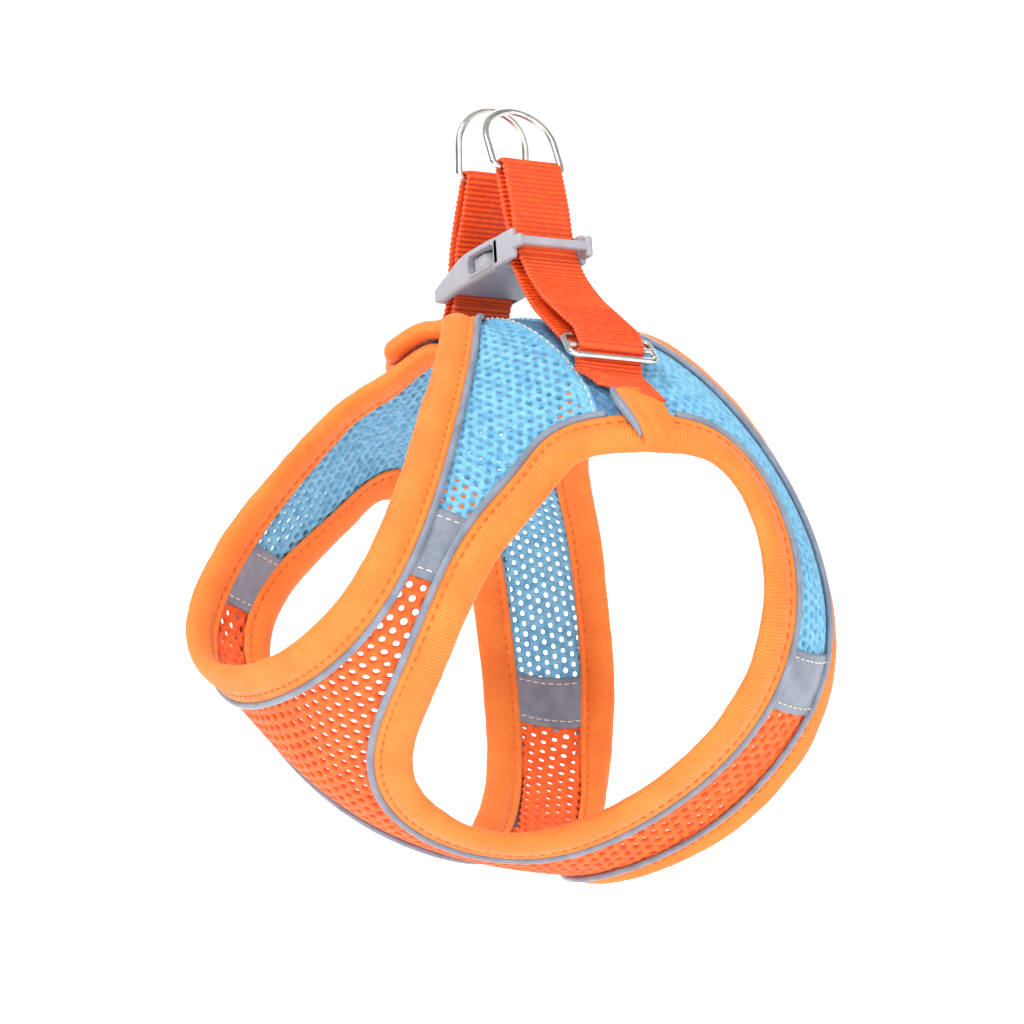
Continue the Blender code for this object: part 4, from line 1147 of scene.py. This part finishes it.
def short_of(point, towards, gap):
    return point + (towards - point) / np.linalg.norm(towards - point) * gap


def build_strap(side, label, head):
    """The loop at the ring and the inner length; head is the body that carries the strap's top."""
    hand = hand_of(side)
    r = RING_WIRE_R + 0.35 * MM + WEB_HALF
    upright = np.array([0.0, 1.0, 0.0])
    inner, outer = STRAP_ENDS[label]
    below, above = [inner, (16.2, 84.0), (12.2, 95.0)], [(17.0, 95.0), (20.0, 84.0), outer]
    fold = [(RING_BAR_X + r * math.cos(a), RING_BAR_Z + r * math.sin(a)) for a in np.linspace(PI, 0, 9)]
    spots = [(x * MM, z * MM) for x, z in below] + fold + [(x * MM, z * MM) for x, z in above]
    points = [np.array([x, STRAP_Y, z]) * hand for x, z in spots]
    top = np.vstack([curve(points[:4], 12)[:-1], curve(points[3:12], 6), curve(points[11:], 12)[1:]])
    widths = np.tile(upright, (len(top), 1))
    add_webbing(f"{label}_strap_top_web", top, widths, f"{label}_strap_top", head, 51)
    centre, along, across, out = slider_frame(side)
    across = across * np.sign(across[1])
    under = centre - out * (2.55 * MM + 0.3 * MM + WEB_HALF)
    seat = [shell(side, s, t, out_mm * MM)[0] for s, t, out_mm in STRAP_SEAT]
    run = [np.array(p) * MM * hand for p in INNER_RUN[label]]
    line = curve([*seat, under, *run, short_of(top[0], run[-1], STRAP_GAP)], 12)
    low = shell(side, 0.44, 0.70)[0] - shell(side, 0.38, 0.70)[0]
    low *= np.sign(low.dot(across)) / np.linalg.norm(low)
    widths = np.vstack([blend_width(37, low, across), blend_width(len(line) - 37, across, upright)])
    body = None if side > 0 else "vest"
    ob = add_webbing(f"{label}_strap_inner_web", line, widths, f"{label}_strap_inner", body, 61)
    if side > 0:
        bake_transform(ob)
    build_return(side, label, (centre, along, across, out), top[-1])


def build_return(side, label, slider, upper_end):
    """The return layer: a sewn loop round the slider's middle bar and the run up to the buckle."""
    centre, along, across, out = slider
    hand = hand_of(side)
    r = 1.0 * MM + 0.25 * MM + WEB_HALF
    turn = [(r * math.cos(a), r * math.sin(a)) for a in np.linspace(0.5 * PI, 1.55 * PI, 24)]
    loop = [(6.2 * MM, r + 0.5 * MM), (3.2 * MM, r + 0.2 * MM), *turn]
    loop = np.array([centre + along * x + out * z for x, z in loop])
    run = [np.array(p) * MM * hand for p in OUTER_RUN[label]]
    line = curve([loop[0], *run, short_of(upper_end, run[-1], STRAP_GAP)], 15)
    widths = blend_width(len(line), across, (0, 1, 0))
    low = np.vstack([line[15:0:-1], loop])
    low_widths = np.vstack([widths[15:0:-1], np.tile(across, (len(loop), 1))])
    ob = add_webbing(f"{label}_return_loop_web", low, low_widths, f"{label}_return_loop", None, 71)
    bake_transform(ob)
    body = None if side > 0 else "vest"
    ob = add_webbing(f"{label}_strap_outer_web", line[15:], widths[15:], f"{label}_strap_outer", body, 81)
    if side > 0:
        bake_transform(ob)


# ---------------------------------------------------------------- metal and plastic


def tube(name, points, radius, look, closed, up, sides=16):
    tangent = unit(np.roll(points, -1, 0) - np.roll(points, 1, 0) if closed else np.gradient(points, axis=0))
    across = unit(np.cross(np.tile(up, (len(points), 1)), tangent))
    frames = (points, across, unit(np.cross(tangent, across)))
    return sweep_mesh(name, frames, circle(radius, sides)[None], LOOKS[look], closed)


def build_rings():
    for side, label in SIDES:
        hw, h, r = RING_HALF_WIDTH, RING_HEIGHT, RING_CORNER_R
        line = [(math.sin(a) * r + hw - r, r - math.cos(a) * r) for a in np.linspace(0, PI / 2, 10)]
        line += [(hw * math.cos(a), h - hw + hw * math.sin(a)) for a in np.linspace(0, PI, 60)]
        line += [(-y, z) for y, z in line[9::-1]]
        lean = math.radians(RING_LEAN[label])
        path = np.array([(z * math.sin(lean), y, z * math.cos(lean)) for y, z in line])
        path += np.array([side * RING_BAR_X, STRAP_Y, RING_BAR_Z])
        at, _ = resample(path, 0.5 * MM, True)
        path = pick(path, at, True)
        up = (math.cos(lean), 0, -math.sin(lean))
        ob = tube(f"{label}_d_ring_wire", path, RING_WIRE_R, "metal", True, up)
        settle(ob, f"{label}_ring", "metal", f"{label}_d_ring")


def build_sliders():
    for side, label in SIDES:
        centre, along, across, out = slider_frame(side)
        w, h, r = SLIDER_HALF_WIDTH, SLIDER_HALF_HEIGHT, SLIDER_CORNER_R
        corners = []
        for cx, cy, start in ((h - r, w - r, 0), (-h + r, w - r, 1), (-h + r, -w + r, 2), (h - r, -w + r, 3)):
            for a in np.linspace(start, start + 1, 9) * PI / 2:
                corners.append((cx + r * math.cos(a), cy + r * math.sin(a)))
        path = np.array([centre + along * x + across * y for x, y in corners])
        at, _ = resample(path, 0.5 * MM, True)
        ob = tube(f"{label}_slider_frame", pick(path, at, True), SLIDER_WIRE_R, "metal", True, out, 14)
        settle(ob, f"{label}_slider_body", "metal", f"{label}_slider")
        bar = np.array([centre + across * y for y in np.linspace(-w, w, 40)])
        ob = tube(f"{label}_slider_bar", bar, SLIDER_WIRE_R, "metal", False, out, 14)
        settle(ob, f"{label}_slider_body", "metal")


def add_solid(name, work):
    """Makes an object of a finished bmesh."""
    mesh = bpy.data.meshes.new(name)
    work.to_mesh(mesh)
    work.free()
    return add_object(name, mesh)


def round_box(name, low, high, radius=0, segments=4):
    """A box between two corners in mm, with its edges rounded to a radius in mm."""
    work = bmesh.new()
    bmesh.ops.create_cube(work, size=1.0)
    low, high = ([v * MM for v in corner] for corner in (low, high))
    for v in work.verts:
        v.co = Vector([(a + b) / 2 + c * (b - a) for a, b, c in zip(low, high, v.co)])
    if radius:
        edges = list(work.edges)
        bmesh.ops.bevel(work, geom=edges, offset=radius * MM, segments=segments, profile=0.5, affect="EDGES")
    return add_solid(name, work)


def slot_prism(name, x0, x1, half_y, radius):
    """A cutter through Y with a round left end, like a capital U lying on its side."""
    turn = np.linspace(PI / 2, 1.5 * PI, 17)
    round_end = [(x0 + radius + radius * math.cos(a), radius * math.sin(a)) for a in turn]
    outline = [(x1, radius), *round_end, (x1, -radius)]
    n = len(outline)
    work = bmesh.new()
    verts = [work.verts.new((x, y, z)) for y in (-half_y, half_y) for x, z in outline]
    faces = [tuple(range(n)), tuple(range(2 * n - 1, n - 1, -1))]
    faces += [(i, i + n, (i + 1) % n + n, (i + 1) % n) for i in range(n)]
    for face in faces:
        work.faces.new([verts[i] for i in face])
    bmesh.ops.recalc_face_normals(work, faces=work.faces)
    return add_solid(name, work)


def carve(base, cutters):
    for cutter in cutters:
        cut = base.modifiers.new("cut", "BOOLEAN")
        cut.operation, cut.solver, cut.object = "DIFFERENCE", "EXACT", cutter
        bpy.context.view_layer.update()
        made = bpy.data.meshes.new_from_object(base.evaluated_get(bpy.context.evaluated_depsgraph_get()))
        base.modifiers.clear()
        base.data = made
        bpy.data.objects.remove(cutter)


def moulded(ob, width):
    ob.data.materials.clear()
    ob.data.materials.append(LOOKS["plastic"])
    ob.data.polygons.foreach_set("use_smooth", [True] * len(ob.data.polygons))
    round_off = ob.modifiers.new("round", "BEVEL")
    round_off.width, round_off.segments = width, 3
    round_off.limit_method, round_off.angle_limit = "ANGLE", math.radians(35)
    round_off.harden_normals = True


BUCKLE_PLACE = Matrix.Translation((0, -14.6 * MM, 77.6 * MM)) @ Matrix.Rotation(math.radians(-7.5), 4, "Y")

# Corners in mm: along the buckle, across it and outwards. The socket's mouth is at x = 11.
SOCKET_SHELL = ((-27.5, -12.8, -5), (11, 12.8, 5.4))
SOCKET_CAVITY = ((-11, -10.4, -3.3), (13, 10.4, 3.3))
SOCKET_SLOT = ((-24.3, -10.5, -9), (-14.5, 10.5, 9))
WINDOW_START, WINDOW_R, WINDOW_RIM_R = -3.6 * MM, 2.9 * MM, 3.35 * MM
# The plug's boxes the same way, each with the radius of its edges.
PLUG_BOXES = {
    "block": ((11.3, -12.8, -4.6), (15.6, 12.8, 4.6), 1.2),
    "rail_front": ((11.8, -12.8, -4.6), (23.4, -10.6, 4.6), 0.9),
    "rail_back": ((11.8, 10.6, -4.6), (23.4, 12.8, 4.6), 0.9),
    "bar": ((24.6, -12.6, -1.35), (27.4, 12.6, 1.35), 0.8),
    "bar_end_front": ((21.5, -12.7, -1.9), (27.5, -10.6, 1.9), 0.8),
    "bar_end_back": ((21.5, 10.6, -3.3), (27.5, 12.8, 3.3), 0.9),
    "tongue": ((-2, -2.6, -1.6), (12.5, 2.6, 1.6), 0.6),
}


def build_socket():
    """The female half: a shell that thins and droops towards the strap end, with a U window in each side."""
    base = round_box("buckle_socket_shell", *SOCKET_SHELL, 1.9, 6)
    work = bmesh.new()
    work.from_mesh(base.data)
    for x in np.linspace(-24, 8, 12) * MM:
        geometry = list(work.verts) + list(work.edges) + list(work.faces)
        bmesh.ops.bisect_plane(work, geom=geometry, plane_co=(x, 0, 0), plane_no=(1, 0, 0))
    for v in work.verts:
        share = float(smooth((-v.co.x - 5 * MM) / (20 * MM)))
        tip = float(smooth((-v.co.x - 21 * MM) / (6.5 * MM)))
        v.co.z = v.co.z * (1 - 0.35 * share - 0.25 * tip) - 2.2 * MM * share - 0.5 * MM * tip
        v.co.y *= 1 - 0.05 * share
    work.to_mesh(base.data)
    work.free()
    windows = slot_prism("windows", WINDOW_START, 13 * MM, 15 * MM, WINDOW_R)
    carve(base, [round_box("cavity", *SOCKET_CAVITY), windows, round_box("slot", *SOCKET_SLOT)])
    moulded(base, 0.35 * MM)
    base.matrix_world = BUCKLE_PLACE
    settle(base, "vest", "plastic", "buckle_socket")
    for sign, hand in ((-1, "front"), (1, "back")):
        r = WINDOW_RIM_R
        line = [(x * MM, r) for x in np.linspace(10.2, 0.2, 10)]
        line += [(-0.7 * MM + r * math.cos(a), r * math.sin(a)) for a in np.linspace(PI / 2, 1.5 * PI, 24)]
        line += [(x * MM, -r) for x in np.linspace(0.2, 10.2, 10)]
        path = np.array([(x, sign * 12.7 * MM, z) for x, z in line])
        rim = tube(f"buckle_socket_rim_{hand}", path, 0.5 * MM, "plastic", False, (0, 1, 0), 12)
        rim.matrix_world = BUCKLE_PLACE
        settle(rim, "vest", "plastic")


def build_plug():
    """The male half: a stout block and rails, a slim end bar for the strap and the guide tongue."""
    for label, box in PLUG_BOXES.items():
        ob = round_box(f"buckle_plug_{label}", *box)
        moulded(ob, 0.1 * MM)
        ob.matrix_world = BUCKLE_PLACE
        settle(ob, "left_strap_head", "plastic", "buckle_plug")


def build_prongs():
    """The two spring arms, with rounded edges."""
    for hand in ("front", "back"):
        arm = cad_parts[f"buckle_prong_{hand}"]
        work = bmesh.new()
        work.from_mesh(arm.data)
        bmesh.ops.remove_doubles(work, verts=work.verts, dist=0.001 * MM)
        bmesh.ops.dissolve_limit(work, angle_limit=math.radians(1), verts=work.verts, edges=work.edges)
        ob = add_solid(f"buckle_prong_{hand}_arm", work)
        ob.matrix_world = arm.matrix_world.copy()
        moulded(ob, 0.5 * MM)
        settle(ob, f"prong_{hand}", "plastic", f"buckle_prong_{hand}")


# ---------------------------------------------------------------- materials


def shader_of(material):
    return material.node_tree.nodes["Principled BSDF"]


def principled(name, colour, roughness, **sockets):
    material = bpy.data.materials.new(name)
    material.use_nodes = True
    values = {"Base Color": (*colour, 1.0), "Roughness": roughness, **sockets}
    for socket, value in values.items():
        shader_of(material).inputs[socket.replace("_", " ")].default_value = value
    return material


def node(tree, kind, inputs, **settings):
    """Adds a node. Each of its inputs is given a value or another node's output."""
    made = tree.nodes.new(kind)
    for key, value in settings.items():
        setattr(made, key, value)
    for socket, value in inputs.items():
        if isinstance(value, bpy.types.NodeSocket):
            tree.links.new(value, made.inputs[socket])
        else:
            made.inputs[socket].default_value = value
    return made


def feed(material, socket, value):
    material.node_tree.links.new(value, shader_of(material).inputs[socket])


def object_place(material):
    return node(material.node_tree, "ShaderNodeTexCoord", {}).outputs["Object"]


def noise(material, scale):
    inputs = {"Vector": object_place(material), "Scale": scale, "Detail": 3.0, "Roughness": 0.6}
    return node(material.node_tree, "ShaderNodeTexNoise", inputs).outputs["Fac"]


def cells(material, scale, randomness):
    inputs = {"Vector": object_place(material), "Scale": scale, "Randomness": randomness}
    return node(material.node_tree, "ShaderNodeTexVoronoi", inputs).outputs["Distance"]


def tint(material, scale, low, high, spread=(0.35, 0.65)):
    """A colour that wanders between two."""
    shade = node(material.node_tree, "ShaderNodeValToRGB", {"Fac": noise(material, scale)})
    for element, position, colour in zip(shade.color_ramp.elements, spread, (low, high)):
        element.position, element.color = position, (*colour, 1)
    feed(material, "Base Color", shade.outputs["Color"])


def add_bump(material, height, strength, distance):
    """Fine relief, on top of what the material has."""
    inputs = {"Height": height, "Strength": strength, "Distance": distance}
    before = shader_of(material).inputs["Normal"].links
    if before:
        inputs["Normal"] = before[0].from_socket
    feed(material, "Normal", node(material.node_tree, "ShaderNodeBump", inputs).outputs["Normal"])


def grain(material, scale, bump, rough_swing, distance):
    """Fine unevenness in height and in roughness."""
    value = noise(material, scale)
    base = shader_of(material).inputs["Roughness"].default_value
    inputs = {"Value": value, "To Min": base - rough_swing, "To Max": base + rough_swing}
    feed(material, "Roughness", node(material.node_tree, "ShaderNodeMapRange", inputs).outputs["Result"])
    add_bump(material, value, bump, distance)


def paint_groove_shade(material, colour, share):
    """Paints shade into the hollows of a ribbed or woven piece: a darker colour mixed in where the weave lies
    low.
    """
    tree = material.node_tree
    raised = node(tree, "ShaderNodeAttribute", {}, attribute_name="raised").outputs["Fac"]
    # The share of painted shade at each point, growing as the weave lies lower.
    inputs = {"Value": raised, "From Min": 0.5, "From Max": -0.8, "To Min": 0.0, "To Max": share}
    depth = node(tree, "ShaderNodeMapRange", inputs).outputs["Result"]
    plain = shader_of(material).inputs["Base Color"].links[0].from_socket
    mix = node(tree, "ShaderNodeMix", {0: depth, 6: plain, 7: (*colour, 1)}, data_type="RGBA")
    feed(material, "Base Color", mix.outputs[2])


def make_look(name, colour, roughness, tints, pits=None, grains=None, grooves=None, **sockets):
    """A tinted material, with pits (scale, randomness, strength, distance), grain and painted shade in the
    weave's hollows if given.
    """
    material = principled(name, colour, roughness, **sockets)
    tint(material, *tints)
    if pits:
        add_bump(material, cells(material, *pits[:2]), *pits[2:])
    if grains:
        grain(material, *grains)
    if grooves:
        paint_groove_shade(material, *grooves)
    return material


NETS = {
    "blue_mesh": ((0.10, 0.35, 0.58), (0.20, 0.53, 0.755)),
    # The close-knit strip's darker blue is partly its own closer knit and partly painted shadow of the strap
    # lying over it.
    "patch": ((0.045, 0.135, 0.27), (0.09, 0.24, 0.42)),
    "orange_mesh": ((0.80, 0.085, 0.004), (0.97, 0.14, 0.008)),
}
TAPES = {
    "reflective": ((0.16, 0.185, 0.235), (0.235, 0.262, 0.32)),
    "piping": ((0.16, 0.195, 0.26), (0.235, 0.275, 0.345)),
}
OTHER_LOOKS = {
    "binding": dict(
        colour=(0.93, 0.23, 0.022),
        roughness=0.62,
        tints=(70, (0.86, 0.195, 0.016), (0.93, 0.25, 0.028)),
        grains=(2200, 0.30, 0.08, 0.00012),
        # Painted shade: this deeper orange is mixed into the hollows between the ribs.
        grooves=((0.80, 0.14, 0.012), 0.55),
        Sheen_Weight=0.15,
        Sheen_Roughness=0.45,
    ),
    "thread": dict(
        colour=(0.80, 0.13, 0.01),
        roughness=0.6,
        tints=(900, (0.66, 0.09, 0.006), (0.90, 0.17, 0.015)),
        grains=(3000, 0.3, 0.05, 0.0001),
    ),
    "cream": dict(
        colour=(0.82, 0.76, 0.68),
        roughness=0.6,
        tints=(700, (0.70, 0.63, 0.55), (0.90, 0.85, 0.78)),
        grains=(3000, 0.3, 0.05, 0.0001),
    ),
    "webbing": dict(
        colour=(1.0, 0.11, 0.006),
        roughness=0.5,
        tints=(500, (0.86, 0.070, 0.002), (0.97, 0.120, 0.005), (0.35, 0.62)),
        pits=(2300, 0.8, 0.4, 0.00015),
        grains=(3000, 0.35, 0.08, 0.0001),
        # Painted shade: this deeper red is mixed into the hollows between the ribs and threads.
        grooves=((0.54, 0.022, 0.001), 0.9),
        Sheen_Weight=0.08,
        Sheen_Roughness=0.4,
    ),
    "hook_tape": dict(
        colour=(0.10, 0.20, 0.34),
        roughness=0.85,
        tints=(900, (0.05, 0.11, 0.20), (0.12, 0.24, 0.38)),
        pits=(1600, 1.0, 0.9, 0.0005),
        Sheen_Weight=0.4,
    ),
    "metal": dict(
        colour=(0.62, 0.60, 0.57),
        roughness=0.2,
        tints=(260, (0.54, 0.52, 0.50), (0.66, 0.64, 0.61)),
        grains=(500, 0.06, 0.05, 0.0001),
        Metallic=1.0,
    ),
    "plastic": dict(
        colour=(0.36, 0.36, 0.40),
        roughness=0.42,
        tints=(120, (0.33, 0.33, 0.37), (0.385, 0.385, 0.425)),
        grains=(1900, 0.16, 0.06, 0.0001),
        Specular_IOR_Level=0.5,
    ),
}


def make_looks():
    looks = {}
    for name, (low, high) in NETS.items():
        pits, grains = (1500, 0.9, 0.55, 0.00022), (2600, 0.35, 0.10, 0.00012)
        sheen = {"Sheen_Weight": 0.12, "Sheen_Roughness": 0.5}
        looks[name] = make_look(name, high, 0.72, (420, low, high, (0.36, 0.60)), pits, grains, **sheen)
    for name, (low, high) in TAPES.items():
        pits, grains = (3200, 0.4, 0.25, 0.00008), (900, 0.15, 0.07, 0.0002)
        looks[name] = make_look(name, high, 0.42, (160, low, high), pits, grains, Sheen_Weight=0.1)
    for name, recipe in OTHER_LOOKS.items():
        looks[name] = make_look(name, **recipe)
    return looks


# ---------------------------------------------------------------- the whole

make_studio(*make_camera())
LOOKS = make_looks()
build_panels()
build_bands()
build_bindings()
build_closure()
build_strap(1, "left", "left_strap_head")
build_strap(-1, "right", "vest")
build_rings()
build_sliders()
build_socket()
build_plug()
build_prongs()
